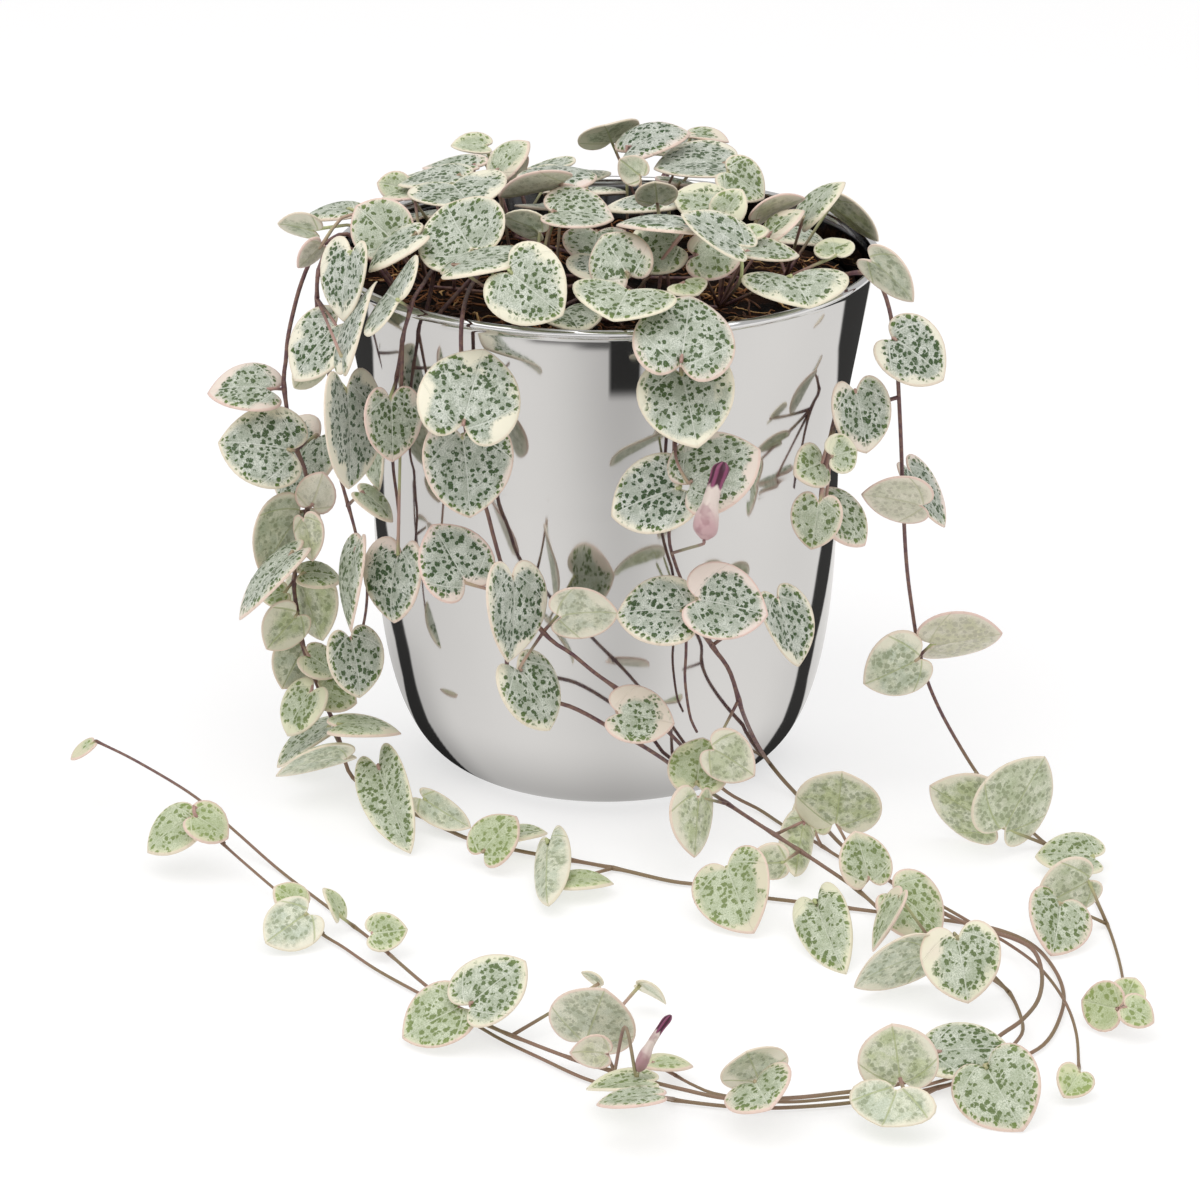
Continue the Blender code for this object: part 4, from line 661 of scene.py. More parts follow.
def flat_leaf(leaf, notch):
    """A crown leaf that lies nearly level, sloping a little out and towards the viewpoint."""
    spread = CROWN_LEAN / RIM_RADIUS
    normal = Vector((spread * notch.x, spread * notch.y - VIEW_LEAN, 1.0)).normalized()
    ray = sight(leaf.tip_x, leaf.tip_y)
    tip = EYE + ray * ((notch - EYE).dot(normal) / ray.dot(normal))
    along = (tip - notch).normalized()
    across = normal.cross(along)
    scale = (notch - EYE).dot(VIEW_FORWARD) / FOCAL_PIXELS
    shown = math.hypot(across.dot(VIEW_RIGHT), across.dot(VIEW_UP))
    length = min((tip - notch).length, LONGEST_LEAF)
    breadth = leaf.width * scale / (LEAF_WIDTH * shown)
    return Blade(notch, along, across, normal, length, min(breadth, MOST_BREADTH * length))


def resting(leaf, blade, wide_shown):
    """The same leaf, but with its tip on the floor if it would else reach below it."""
    tip = at_height(leaf.tip_x, leaf.tip_y, TIP_REST + BLADE_DROOP * blade.length)
    reach = tip - blade.notch
    below = on_blade(blade, 1.0, 0.0).z < TIP_REST
    if not below or reach.length > LONGEST_LEAF:
        return blade
    along = reach.normalized()
    flat = along.cross(upright(1.0)).normalized()
    roll = math.acos(min(1.0, wide_shown / (LEAF_WIDTH * reach.length)))
    roll = min(roll, MOST_ROLL) * (1.0 if leaf.tip_x > leaf.x else -1.0)
    breadth = min(MOST_BREADTH * reach.length, wide_shown / (LEAF_WIDTH * math.cos(roll)))
    across = flat * math.cos(roll) + along.cross(flat) * math.sin(roll)
    normal = along.cross(across)
    seen = normal.dot(EYE - blade.notch) > 0.0
    if seen == (leaf.face == UNDER):
        normal = -normal
    return Blade(blade.notch, along, normal.cross(along), normal, reach.length, breadth)


def tree_of(corners, faces):
    """A search tree of a shape, for finding what it meets."""
    return BVHTree.FromPolygons([tuple(c) for c in corners], faces)


def ring_faces(first, rings, sides):
    """The four-cornered faces between rings of corners that follow each other in a list."""
    faces = []
    for ring in range(rings - 1):
        for step in range(sides):
            a = first + ring * sides + step
            b = first + ring * sides + (step + 1) % sides
            faces.append((a, b, b + sides, a + sides))
    return faces


def spokes(side, other, count):
    """Directions at even turns, from one direction towards another across it."""
    turns = [math.tau * step / count for step in range(count)]
    return [math.cos(turn) * side + math.sin(turn) * other for turn in turns]


def heading_at(path, index):
    """Where a path is heading at one of its points."""
    return path[min(index + 1, len(path) - 1)] - path[max(index - 1, 0)]


def prism_shape(path, radius):
    """Corners and faces of a three-sided prism along a path, for testing clearance."""
    corners = []
    for index, point in enumerate(path):
        ahead = heading_at(path, index)
        side = ahead.orthogonal().normalized()
        other = ahead.normalized().cross(side)
        corners += [point + radius * spoke for spoke in spokes(side, other, 3)]
    return corners, ring_faces(0, len(path), 3)


def circle_at(radius, height, count):
    """Points round the pot's axis."""
    turns = [math.tau * step / count for step in range(count)]
    return [(radius * math.cos(turn), radius * math.sin(turn), height) for turn in turns]


def pot_guard():
    """A skin a little off the pot's wall, inside and out, for testing clearance."""
    outside = [(wall_radius(z) + SPARE, z) for z in bowl_heights()]
    inner = RIM_RADIUS - 2.0 * LIP_RADIUS - SPARE
    top = POT_HEIGHT + SPARE
    profile = [(inner, SOIL_TOP), (inner, top), (RIM_RADIUS + SPARE, top)] + outside
    steps = 2 * POT_STEPS
    corners = [corner for radius, height in profile for corner in circle_at(radius, height, steps)]
    return tree_of(corners, ring_faces(0, len(profile), steps))


class Garden:
    """What is already placed: stems and leaves, each with the node that it belongs to."""

    def __init__(self):
        self.pot = pot_guard()
        self.stems = []
        self.blades = []
        self.stalks = []

    def add_stem(self, node, path):
        """Keeps a stem with a skin around it."""
        self.stems.append((node, path, tree_of(*prism_shape(path, SKIN * STEM_RADIUS))))

    def add_blade(self, node, blade):
        self.blades.append((node, blade, tree_of(*blade_shape(blade, BLADE_CLEARANCE))))

    def add_stalk(self, node, path):
        self.stalks.append((node, path, tree_of(*prism_shape(path, SKIN * STALK_RADIUS))))

    def blade_hits(self, blade):
        """How much of what is placed a leaf would meet."""
        tree = tree_of(*blade_shape(blade, BLADE_CLEARANCE))
        hits = POT_FAULT * bool(tree.overlap(self.pot))
        hits += sum(bool(tree.overlap(other)) for _, _, other in self.stems)
        hits += sum(bool(tree.overlap(other)) for _, _, other in self.stalks)
        for _, other, shape in self.blades:
            if (other.notch - blade.notch).length < 1.3 * (other.length + blade.length):
                hits += bool(tree.overlap(shape))
        return hits

    def stalk_hits(self, node, path):
        """How much a stalk of this node would meet. Leaves of its own node count little."""
        tree = tree_of(*prism_shape(path, SKIN * STALK_RADIUS))
        hits = POT_FAULT * bool(tree.overlap(self.pot))
        for other, _, shape in self.stems + self.stalks:
            if other != node:
                hits += bool(tree.overlap(shape))
        for other, blade, shape in self.blades:
            near = (blade.notch - path[-1]).length < 2.0 * blade.length + 20.0 * MM
            if near and bool(tree.overlap(shape)):
                hits += OWN_LEAF_FAULT if other == node else OTHER_LEAF_FAULT
        return hits


def blade_points(blade):
    """A leaf's corners, and the middles of its rim's edges."""
    corners, _ = blade_shape(blade, BLADE_CLEARANCE)
    rim = corners[1 : len(corners) // 2]
    return corners + [a.lerp(b, 0.5) for a, b in zip(rim, rim[1:])]


def fouls_pot(point):
    """Whether a point lies in the pot's wall, its soil or the floor."""
    if point.z < SPARE:
        return True
    if point.z > POT_HEIGHT + SPARE:
        return False
    if from_axis(point) < RIM_RADIUS - LIP_RADIUS - WALL - 1.2 * MM:
        return point.z < SOIL_TOP + SOIL_RELIEF + SPARE
    return from_axis(point) < wall_radius(point.z) + SPARE


def settled(garden, leaf, notch):
    """The leaf, slid along its line of sight to the nearest place where it meets nothing."""
    ray = (notch - EYE).normalized()
    best = None
    for step in range(SLIDES):
        slide = SLIDE_STEP * ((step + 1) // 2) * (-1.0 if step % 2 else 1.0)
        blade = leaf_at(leaf, notch + ray * slide)
        faults = CORNER_FAULT * sum(fouls_pot(p) for p in blade_points(blade))
        faults += garden.blade_hits(blade)
        if best is None or faults < best[0]:
            best = (faults, blade)
        if not faults:
            break
    return best[1]


def stalk_path(start, blade, bow):
    """A stalk from the notch to a stem: straight, or back along the midrib and bowed up."""
    reach = (start - blade.notch).length
    behind = blade.notch - blade.along * min(STALK_BACK, 0.4 * reach)
    if reach < STALK_SHORT or not bow:
        return [blade.notch, start]
    return [blade.notch, behind.lerp(start, 0.3) + upright(0.6 * bow), start]


def stalk_for(garden, node, blade, joints):
    """The stalk with the fewest faults, from the nearest joints of the node's stems."""
    nearest = sorted(joints, key=lambda point: (point - blade.notch).length)[:STALK_STARTS]
    shares = [part / STALK_TESTS for part in range(STALK_TESTS + 1)]
    best = None
    for start in nearest:
        for bow in STALK_BOWS:
            path = stalk_path(start, blade, bow)
            tests = path[:1] + [a.lerp(b, t) for a, b in zip(path, path[1:]) for t in shares]
            meets = garden.stalk_hits(node, path) + sum(fouls_pot(p) for p in tests)
            cost = STALK_COST * (start - blade.notch).length + 0.1 * abs(bow)
            total = STALK_FAULT * meets + cost / MM
            if best is None or total < best[0]:
                best = (total, path)
    return best[1]


def nearest_joint(joints, x, y):
    """The stem point that the picture shows nearest to this pixel."""
    def off(point):
        px, py = pixel_of(point)
        return math.hypot(px - x, py - y)

    return min(joints, key=off)


def strand_notch(leaf, joints):
    """Where a strand's leaf starts: on its line of sight, as far away as its stem."""
    joint = nearest_joint(joints, leaf.x, leaf.y)
    if joint.z < 3.0 * STALK_RISE:
        return at_height(leaf.x, leaf.y, joint.z + STALK_RISE)
    ray = sight(leaf.x, leaf.y)
    away = (joint - EYE).dot(VIEW_FORWARD) - NOTCH_AHEAD
    return EYE + ray * (away / ray.dot(VIEW_FORWARD))


class Spray:
    """One leafy node: its stems, stalks and leaves."""

    def __init__(self, name, garden):
        self.name = name
        self.garden = garden
        self.stems = []
        self.fine = []
        self.stalks = []
        self.stalk_stems = []
        self.blades = []
        self.joints = []

    def add_stem(self, fine):
        """Adds a stem, and joints on it where stalks may grow."""
        path = thinned(fine)
        self.fine.append(fine)
        self.stems.append(path)
        for a, b in zip(path, path[1:]):
            self.joints += [a, a.lerp(b, 0.5)]
        self.joints.append(path[-1])
        self.garden.add_stem(self.name, path)

    def above_ground(self):
        """The joints that don't lie in or near the soil."""
        return [p for p in self.joints if from_axis(p) > ROOT_RADIUS + 1.0 * MM or p.z > POT_HEIGHT]

    def grow(self, blade, joints):
        """Adds a leaf, with a stalk from one of these joints."""
        path = stalk_for(self.garden, self.name, blade, joints)
        self.blades.append(blade)
        self.stalks.append(path)
        self.garden.add_blade(self.name, blade)
        self.garden.add_stalk(self.name, path)


def strand(garden, laid, name, routes):
    """A trailing stem with its branches. The first route is rooted in the soil."""
    spray = Spray(name, garden)
    for number, picks in enumerate(routes):
        points = route(picks)
        if number == 0:
            points = rooted(points)
        path = smooth_path(points, STEM_FINE)
        skip = ROOTED_POINTS if number == 0 else 1
        gap = STEM_RADIUS + POT_CLEARANCE
        path = path[:skip] + [clear_of_pot(p, gap) for p in path[skip:]]
        if number:
            path[0] = min(spray.joints, key=lambda p: (p - path[0]).length)
        for _ in range(HUMP_PASSES):
            path = hump(path, laid)
        laid += path
        spray.add_stem(path)
    return spray


def dress(spray, leaves):
    """Grows a strand's leaves where the picture shows them."""
    joints = spray.above_ground()
    for leaf in leaves:
        spray.grow(settled(spray.garden, leaf, strand_notch(leaf, joints)), joints)


def flower_path(flower, start):
    """Points along a flower from its base to its tip, across the line of sight."""
    away = (start - EYE).dot(VIEW_FORWARD)
    ray = sight(flower.end_x, flower.end_y)
    end = EYE + ray * (away / ray.dot(VIEW_FORWARD))
    return [start.lerp(end, share) for share, _ in FLOWER_FORM]


def bloom(spray, flower):
    """A flower's place, clear of the leaves and in front of them, and the stalk up to it."""
    joint = nearest_joint(spray.joints, flower.x, flower.y)
    ray = sight(flower.x, flower.y)
    away = (joint - EYE).dot(VIEW_FORWARD) / ray.dot(VIEW_FORWARD)
    best = None
    for step in range(FLOWER_SLIDES):
        path = flower_path(flower, EYE + ray * (away - 0.8 * MM * step))
        tree = tree_of(*prism_shape(path, 0.75 * flower.width * MM))
        shapes = spray.garden.stems + spray.garden.blades + spray.garden.stalks
        meets = sum(bool(tree.overlap(shape)) for _, _, shape in shapes)
        faults = FLOWER_FAULT * (meets + sum(fouls_pot(p) for p in path))
        shown = count_seen(path, [shape for _, _, shape in spray.garden.blades])
        faults += shown < FLOWER_SHOWN * len(path)
        if best is None or faults < best[0]:
            best = (faults, path)
        if not faults:
            break
    path = best[1]
    top = path[0] + (path[0] - path[1]).normalized() * (STALK_RADIUS + SPARE)
    nearest = sorted(spray.joints, key=lambda point: (point - top).length)
    behind = [point for point in nearest if (top - point).dot(path[1] - path[0]) > 0.0]
    lines = [
        [start, start.lerp(top, 0.5) + upright(bow), top]
        for start in behind[:FLOWER_STARTS]
        for bow in STALK_BOWS
    ]
    stalk = min(lines, key=lambda line: spray.garden.stalk_hits(spray.name, line))
    spray.stalk_stems.append(stalk)
    spray.garden.add_stalk(spray.name, stalk)
    spray.garden.add_stem(flower.node, path)
    return path


def back_strand(garden, name, degrees, drop):
    """A short strand down the far side, which the viewpoint doesn't see."""
    aim = level(math.radians(degrees))
    side = Vector((-aim.y, aim.x, 0.0))
    rise = upright(1.0)
    points = [
        aim * (RIM_RADIUS - 3.5 * MM) + rise * (POT_HEIGHT + 1.8 * MM),
        aim * (RIM_RADIUS + 2.0 * MM) + rise * (POT_HEIGHT + 1.2 * MM),
    ]
    count = round(drop / BACK_STEP)
    for number in range(1, count + 1):
        height = POT_HEIGHT - number * BACK_STEP
        radius = wall_radius(height) + BACK_OFF
        wave = BACK_WAVE * math.sin(BACK_WAVES * number)
        points.append(aim * radius + rise * height + side * wave)
    spray = Spray(name, garden)
    spray.add_stem(smooth_path(rooted(points), STEM_FINE))
    for number in range(1, count + 1):
        joint = points[number + 1]
        for hand in (1.0, -1.0):
            normal = (aim + rise * BACK_TILT + side * BACK_TURN * hand).normalized()
            reach = (side * hand - rise * (BACK_TILT + 0.1 * (number % 3))).normalized()
            along = (reach - normal * reach.dot(normal)).normalized()
            length = BACK_LEAF * (1.0 - BACK_SHRINK * number) * (1.0 - 0.1 * (hand > 0))
            notch = joint + along * 3.0 * MM + normal * (3.0 + 1.4 * (hand > 0)) * MM
            blade = Blade(notch, along, normal.cross(along), normal, length, length)
            if not any(fouls_pot(p) for p in blade_points(blade)) and not garden.blade_hits(blade):
                spray.grow(blade, spray.joints)
    return spray


def crown_frame(garden):
    """Low stems that spread from the middle of the pot, with the roots that hold them."""
    spray = Spray("crown", garden)
    draw = random.Random(SEED)
    heart = Vector((*CROWN_HEART, SOIL_TOP + SPOKE_LIFT))
    roots = []
    for spoke in range(CROWN_SPOKES):
        turn = math.tau * (spoke + draw.uniform(-SPOKE_SPREAD, SPOKE_SPREAD)) / CROWN_SPOKES
        bend = turn + draw.uniform(-SPOKE_BEND, SPOKE_BEND)
        reach = CROWN_REACH * draw.uniform(*SPOKE_REACHES)
        middle = level(bend) * 0.5 * reach
        end = level(turn) * reach
        points = [
            heart - middle * 0.12,
            middle + upright(SOIL_TOP + SPOKE_LIFT),
            end + upright(SOIL_TOP + SPOKE_LIFT + 1.0 * MM),
        ]
        spray.add_stem(smooth_path(points, STEM_FINE))
        if spoke % 2 == 0:
            foot = Vector((middle.x, middle.y, SOIL_TOP - 0.6 * HOLE_DEPTH))
            spray.stems.append([foot, points[1]])
            spray.fine.append([foot, points[1]])
            roots.append(foot)
    return spray, roots


def count_seen(points, trees):
    """How many of the points the leaves leave in sight of the viewpoint."""
    shown = 0
    for point in points:
        towards = (EYE - point).normalized()
        if not any(tree.ray_cast(point + towards * MM, towards)[0] for tree in trees):
            shown += 1
    return shown


def bare(point):
    """Whether a point shows where the picture has bare soil at the front of the pot."""
    x, y = pixel_of(point)
    return any(left < x < right and top < y < bottom for left, top, right, bottom in BARE_SOIL)


def drawn_leaf(draw, far, low):
    """A leaf over the pot drawn by rule, at its height below the crown's dome."""
    turn = draw.uniform(0.0, math.pi) if far else draw.uniform(0.0, math.tau)
    radius = RIM_RADIUS * math.sqrt(draw.uniform(*RULE_PLACES))
    lean = draw.uniform(*(FAR_LEAN if far else LOW_LEAN))
    twist = turn + draw.uniform(-RULE_TWIST, RULE_TWIST)
    length = draw.uniform(*RULE_LENGTHS) * MM
    aim = level(twist)
    spot = Vector((math.cos(turn) * radius, math.sin(turn) * radius, 0.0))
    spot.z = dome_height(spot) - low - draw.uniform(0.0, RULE_SINK) * MM
    along = (aim - upright(lean)).normalized()
    normal = (upright(1.0) - along * along.z).normalized()
    return Blade(spot, along, normal.cross(along), normal, length, length)


def ruled_leaves(spray, count, far):
    """Leaves that the picture doesn't settle: of the far side, or low in the crown's gaps."""
    draw = random.Random(SEED)
    trees = [tree for _, _, tree in spray.garden.blades]
    grown = 0
    for _ in range(RULE_TRIES):
        if grown == count:
            break
        blade = drawn_leaf(draw, far, 0.0 if far else LOW_DROP)
        points = blade_points(blade)
        if any(fouls_pot(p) for p in points) or spray.garden.blade_hits(blade):
            continue
        shown = count_seen(points[:9], trees)
        wanted = shown <= 1 if far else shown >= LOW_SHOWN and not bare(points[0])
        if wanted:
            spray.grow(blade, spray.joints)
            trees.append(spray.garden.blades[-1][2])
            grown += 1


def bowl_heights():
    """Heights down the outside of the pot, closer together where it curves more."""
    heights = [POT_HEIGHT - LIP_UNDER, BOWL_TOP]
    for step in range(1, BOWL_POINTS + 1):
        angle = 0.5 * math.pi * step / BOWL_POINTS
        heights.append(BOWL_TOP * (1.0 - math.sin(angle) ** (2.0 / BOWL_POWER)))
    return heights


def grown_sprays():
    """Every leafy node, with the holes that its stems stand in."""
    garden = Garden()
    laid = []
    plan = [
        ("strand_left_long", [LEFT_LONG], LEFT_LONG_LEAVES),
        ("strand_front_left", [FRONT_LEFT, FRONT_LEFT_BRANCH], FRONT_LEFT_LEAVES),
        ("strand_front_middle", [FRONT_MIDDLE, FRONT_MIDDLE_BRANCH], FRONT_MIDDLE_LEAVES),
        ("strand_left_inner", [LEFT_INNER], LEFT_INNER_LEAVES),
        ("strand_left_wall", [LEFT_WALL], LEFT_WALL_LEAVES),
        ("strand_right_outer", [RIGHT_OUTER, RIGHT_OUTER_BRANCH], RIGHT_OUTER_LEAVES),
    ]
    sprays = [strand(garden, laid, name, routes) for name, routes, _ in plan]
    crown, roots = crown_frame(garden)
    for spray, (_, _, leaves) in zip(sprays, plan):
        dress(spray, leaves)
    for leaf in CROWN_LEAVES:
        crown.grow(settled(garden, leaf, at_dome(leaf.x, leaf.y)), crown.joints)
    flowers = []
    for spray in sprays:
        for flower in FLOWERS.get(spray.name, []):
            flowers.append((flower, bloom(spray, flower)))
    for name, (degrees, drop) in BACK_STRANDS.items():
        sprays.append(back_strand(garden, name, degrees, drop))
    ruled_leaves(crown, LOW_LEAVES, False)
    ruled_leaves(crown, HIDDEN_LEAVES, True)
    holes = roots + [spray.stems[0][0] for spray in sprays]
    return sprays + [crown], flowers, holes


# The fine leaves: rings of points from the middle of the blade out to its rounded rim
HEART = [
    (0.0, 0.03), (-0.05, 0.09), (-0.13, 0.22), (-0.18, 0.41), (-0.155, 0.64), (-0.05, 0.86),
    (0.12, 1.01), (0.32, 1.04), (0.53, 0.95), (0.71, 0.76), (0.86, 0.47), (0.955, 0.19), (1.0, 0.0),
]
RINGS = (0.0, 0.18, 0.36, 0.52, 0.66, 0.78, 0.88, 0.955, 1.0)
RIM_SIDE = 24
SMALL_RINGS = (0.0, 0.3, 0.58, 0.8, 0.93, 1.0)
SMALL_SIDE = 14
SMALL_LEAF = 9.0 * MM
LYING_HEIGHT = 26.0 * MM
FULL_LEAF = 14.0 * MM
MOST_THICK = 1.0 * MM
RIM_THICK = 0.5 * MM
THICK_SHARE = 0.085
RIM_PINCH = 0.55
RIM_SHARE = 0.52
RIDGE_SOFT = 0.0012
GROOVE_DEPTH = 0.010
GROOVE_WIDTH = 0.035
STALK_SIDES = 8
STALK_PARTS = 8
STEM_SIDES = 10
STEM_THICK = 0.47 * MM
STEM_THIN = 0.30 * MM
NODE_SWELL = 0.38
NODE_REACH = 1.6 * MM
STALK_INTO = 0.06
FLOWER_STALK = 0.8
FLOWER_STALK_STEP = 0.8 * MM
FLOWER_STALK_GAP = 0.15
FLOWER_STALK_AGE = 1.4


def put_values(mesh, name, values):
    """Gives each corner of a mesh a number, or three of them."""
    triples = isinstance(values[0], tuple)
    layer = mesh.attributes.new(name, "FLOAT_VECTOR" if triples else "FLOAT", "POINT")
    flat = [part for value in values for part in value] if triples else values
    layer.data.foreach_set("vector" if triples else "value", flat)


def shown_mesh(name, corners, faces, look, **values):
    """A smooth object, with the named values at its corners."""
    mesh = bpy.data.meshes.new(name)
    mesh.from_pydata([tuple(c) for c in corners], [], faces)
    for key, numbers in values.items():
        put_values(mesh, key, numbers)
    mesh.materials.append(look)
    mesh.shade_smooth()
    made = bpy.data.objects.new(name, mesh)
    bpy.context.scene.collection.objects.link(made)
    return made


def sample(points, count):
    """Points at even steps of a Catmull-Rom curve through pairs of numbers."""
    ends = [points[0]] + points + [points[-1]]
    curve = []
    for number in range(count + 1):
        place = (len(points) - 1) * number / count
        index = min(int(place), len(points) - 2)
        t = place - index
        a, b, c, d = ends[index : index + 4]
        pair = []
        for k in range(2):
            cubic = -a[k] + 3.0 * b[k] - 3.0 * c[k] + d[k]
            square = 2.0 * a[k] - 5.0 * b[k] + 4.0 * c[k] - d[k]
            pair.append(0.5 * (2.0 * b[k] + (c[k] - a[k]) * t + square * t * t + cubic * t**3))
        curve.append(pair)
    return curve


def heart_rim(side):
    """The smooth outline, in shares of the leaf's length and breadth, notch round to notch."""
    half = [(u, v * LEAF_WIDTH / 2.0) for u, v in sample(HEART, side)]
    return half + [(u, -v) for u, v in half[-2::-1]]


def character(leaf_seed, blade):
    """What differs from leaf to leaf, drawn from the leaf's own number."""
    draw = random.Random(leaf_seed)
    small = min(1.0, blade.length / FULL_LEAF)
    lying = draw.uniform(0.3, 1.0) if blade.notch.z < LYING_HEIGHT else 0.0
    return {
        "cup": draw.uniform(0.5, 1.3),
        "roll": draw.uniform(-0.04, 0.10),
        "wave": draw.uniform(0.010, 0.026),
        "phase": draw.uniform(0.0, math.tau),
        "lobes": draw.choice((2, 3, 3)),
        "skew": draw.uniform(-0.05, 0.05),
        "cream": draw.uniform(0.15, 1.0) ** 1.4,
        "young": max(0.0, 1.0 - small) + draw.uniform(0.0, 0.18) + 0.6 * lying,
        "blush": draw.uniform(0.0, 1.0),
        "seed": draw.uniform(0.0, 400.0),
    }


def leaf_surface(blade, look, u, v, t, turn):
    """A point on the middle of the blade's thickness."""
    soft = math.sqrt(v * v + RIDGE_SOFT) - math.sqrt(RIDGE_SOFT)
    rise = BLADE_FOLD * soft * look["cup"] - BLADE_DROOP * u * u
    rise -= look["roll"] * t**4
    rise += look["wave"] * t * t * math.sin(look["lobes"] * turn + look["phase"])
    rise -= GROOVE_DEPTH * math.exp(-((v / GROOVE_WIDTH) ** 2)) * (1.0 - t * t)
    side = v + look["skew"] * u * u * (1.0 - abs(v))
    place = blade.notch + blade.along * (u * blade.length) + blade.across * (side * blade.breadth)
    return place + blade.normal * (rise * blade.length)


class Foliage:
    """The corners, faces and surface values of one object made of many leaves."""

    def __init__(self):
        self.corners = []
        self.faces = []
        self.at = []
        self.rim = []
        self.face = []
        self.tone = []

    def add_leaf(self, blade, number):
        """Adds both faces of a leaf in rings round its middle, and the strip between them."""
        look = character(number, blade)
        fine = blade.length > SMALL_LEAF
        rings = RINGS if fine else SMALL_RINGS
        outline = heart_rim(RIM_SIDE if fine else SMALL_SIDE)
        count = len(outline)
        thick = min(MOST_THICK, THICK_SHARE * blade.length)
        first = len(self.corners)
        for top in (1.0, -1.0):
            for ring, t in enumerate(rings):
                for step in range(1 if ring == 0 else count):
                    u = LEAF_MIDDLE[0] + t * (outline[step][0] - LEAF_MIDDLE[0])
                    v = t * outline[step][1]
                    self.add_corner(blade, look, u, v, t, top, thick, math.tau * step / count)
        layer = 1 + (len(rings) - 1) * count
        for side in (0, 1):
            base = first + side * layer
            for step in range(count):
                after = (step + 1) % count
                self.face_of(side, (base, base + 1 + after, base + 1 + step))
                for ring in range(1, len(rings) - 1):
                    inner = base + 1 + (ring - 1) * count
                    outer = inner + count
                    quad = (inner + step, inner + after, outer + after, outer + step)
                    self.face_of(side, quad)
        upper = first + layer - count
        lower = upper + layer
        for step in range(count):
            after = (step + 1) % count
            self.faces.append((upper + step, upper + after, lower + after, lower + step))

    def face_of(self, side, loop):
        """Adds a face, turned over on the underside."""
        self.faces.append(loop if side == 0 else loop[::-1])

    def add_corner(self, blade, look, u, v, t, top, thick, turn):
        """Adds a corner of one face, with what the leaf's material reads at it."""
        half = 0.5 * (RIM_THICK + (thick - RIM_THICK) * (1.0 - t**3))
        half *= 1.0 if t < 1.0 else RIM_PINCH
        place = leaf_surface(blade, look, u, v, t, turn)
        self.corners.append(place + blade.normal * (top * half))
        self.at.append((u * blade.length / MM, v * blade.breadth / MM, look["seed"]))
        across = 0.5 * (blade.length + blade.breadth) * RIM_SHARE
        self.rim.append((1.0 - t) * across / MM)
        self.face.append(0.5 + 0.5 * top * (1.0 if t < 1.0 else 0.0))
        self.tone.append((look["cream"], look["young"], look["blush"]))

    def built(self, name, look):
        """The object, in this material."""
        return shown_mesh(name, self.corners, self.faces, look, leaf_at=self.at,
                          leaf_tone=self.tone, leaf_rim=self.rim, leaf_face=self.face)


class Tubes:
    """The corners and faces of one object made of many round tubes."""

    def __init__(self):
        self.corners = []
        self.faces = []
        self.ages = []

    def add(self, path, radii, sides, ages):
        """A closed round tube along a path, with a radius and an age at each of its points."""
        heading = (path[1] - path[0]).normalized()
        side = heading.orthogonal().normalized()
        first = len(self.corners)
        for index, point in enumerate(path):
            aim = heading_at(path, index).normalized()
            side = (heading.rotation_difference(aim) @ side).normalized()
            heading = aim
            ring = spokes(side, aim.cross(side), sides)
            self.corners += [point + radii[index] * spoke for spoke in ring]
            self.ages += [ages[index]] * sides
        self.faces += ring_faces(first, len(path), sides)
        last = first + (len(path) - 1) * sides
        self.faces.append(tuple(range(first + sides - 1, first - 1, -1)))
        self.faces.append(tuple(range(last, last + sides)))

    def built(self, name, look):
        """The object, in this material."""
        return shown_mesh(name, self.corners, self.faces, look, age=self.ages)


def stalk_curve(line, blade):
    """A stalk's smooth path from under the notch to the stem."""
    inside = blade.notch + blade.along * STALK_INTO * blade.length
    inside -= blade.normal * 0.15 * MM
    return smooth_path([inside] + line, (inside - line[-1]).length / STALK_PARTS)


def stem_radius(point, share, starts):
    """Thinner towards the stem's tip, and swollen where leaves grow from it."""
    near = min([(point - start).length for start in starts], default=1.0)
    swell = 1.0 + NODE_SWELL * math.exp(-((near / NODE_REACH) ** 2))
    return (STEM_THICK + (STEM_THIN - STEM_THICK) * share**1.5) * swell


def dress_spray(spray, looks, number, blooms):
    """The fine leaves and stems that stand for one leafy node."""
    leaves = Foliage()
    wood = Tubes()
    starts = [line[-1] for line in spray.stalks]
    for path in spray.fine:
        last = len(path) - 1
        radii = [stem_radius(p, i / last, starts) for i, p in enumerate(path)]
        wood.add(path, radii, STEM_SIDES, [i / last for i in range(len(path))])
    for line in spray.stalk_stems:
        base = min(blooms, key=lambda point: (point - line[-1]).length)
        path = smooth_path(line + [base.lerp(line[-1], FLOWER_STALK_GAP)], FLOWER_STALK_STEP)
        radii = [FLOWER_STALK * STALK_RADIUS] * len(path)
        wood.add(path, radii, STALK_SIDES, [FLOWER_STALK_AGE] * len(path))
    for index, (blade, line) in enumerate(zip(spray.blades, spray.stalks)):
        leaves.add_leaf(blade, 1000 * number + index)
        path = stalk_curve(line, blade)
        last = len(path) - 1
        radii = [STALK_RADIUS * (0.75 + 0.5 * abs(i / last - 0.5)) for i in range(last + 1)]
        wood.add(path, radii, STALK_SIDES, [2.0 - i / last for i in range(last + 1)])
    for piece in (leaves.built(spray.name + "_leaves", looks["leaf"]),
                  wood.built(spray.name + "_stems", looks["stem"])):
        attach(piece, "root")
        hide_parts(spray.name)


def colour(red, green, blue):
    """A colour given as it looks on a screen, 0 to 255, as the linear values of a shader."""
    return tuple((part / 255.0) ** 2.2 for part in (red, green, blue)) + (1.0,)


# The leaf's pattern, in millimetres over the blade, with the turn between side veins in radians
VEIN_SPREAD = 1.24
VEIN_START = 0.9
VEIN_BEND = 0.028
VEIN_WIDTH = 0.30
CREAM_REACH = 4.2
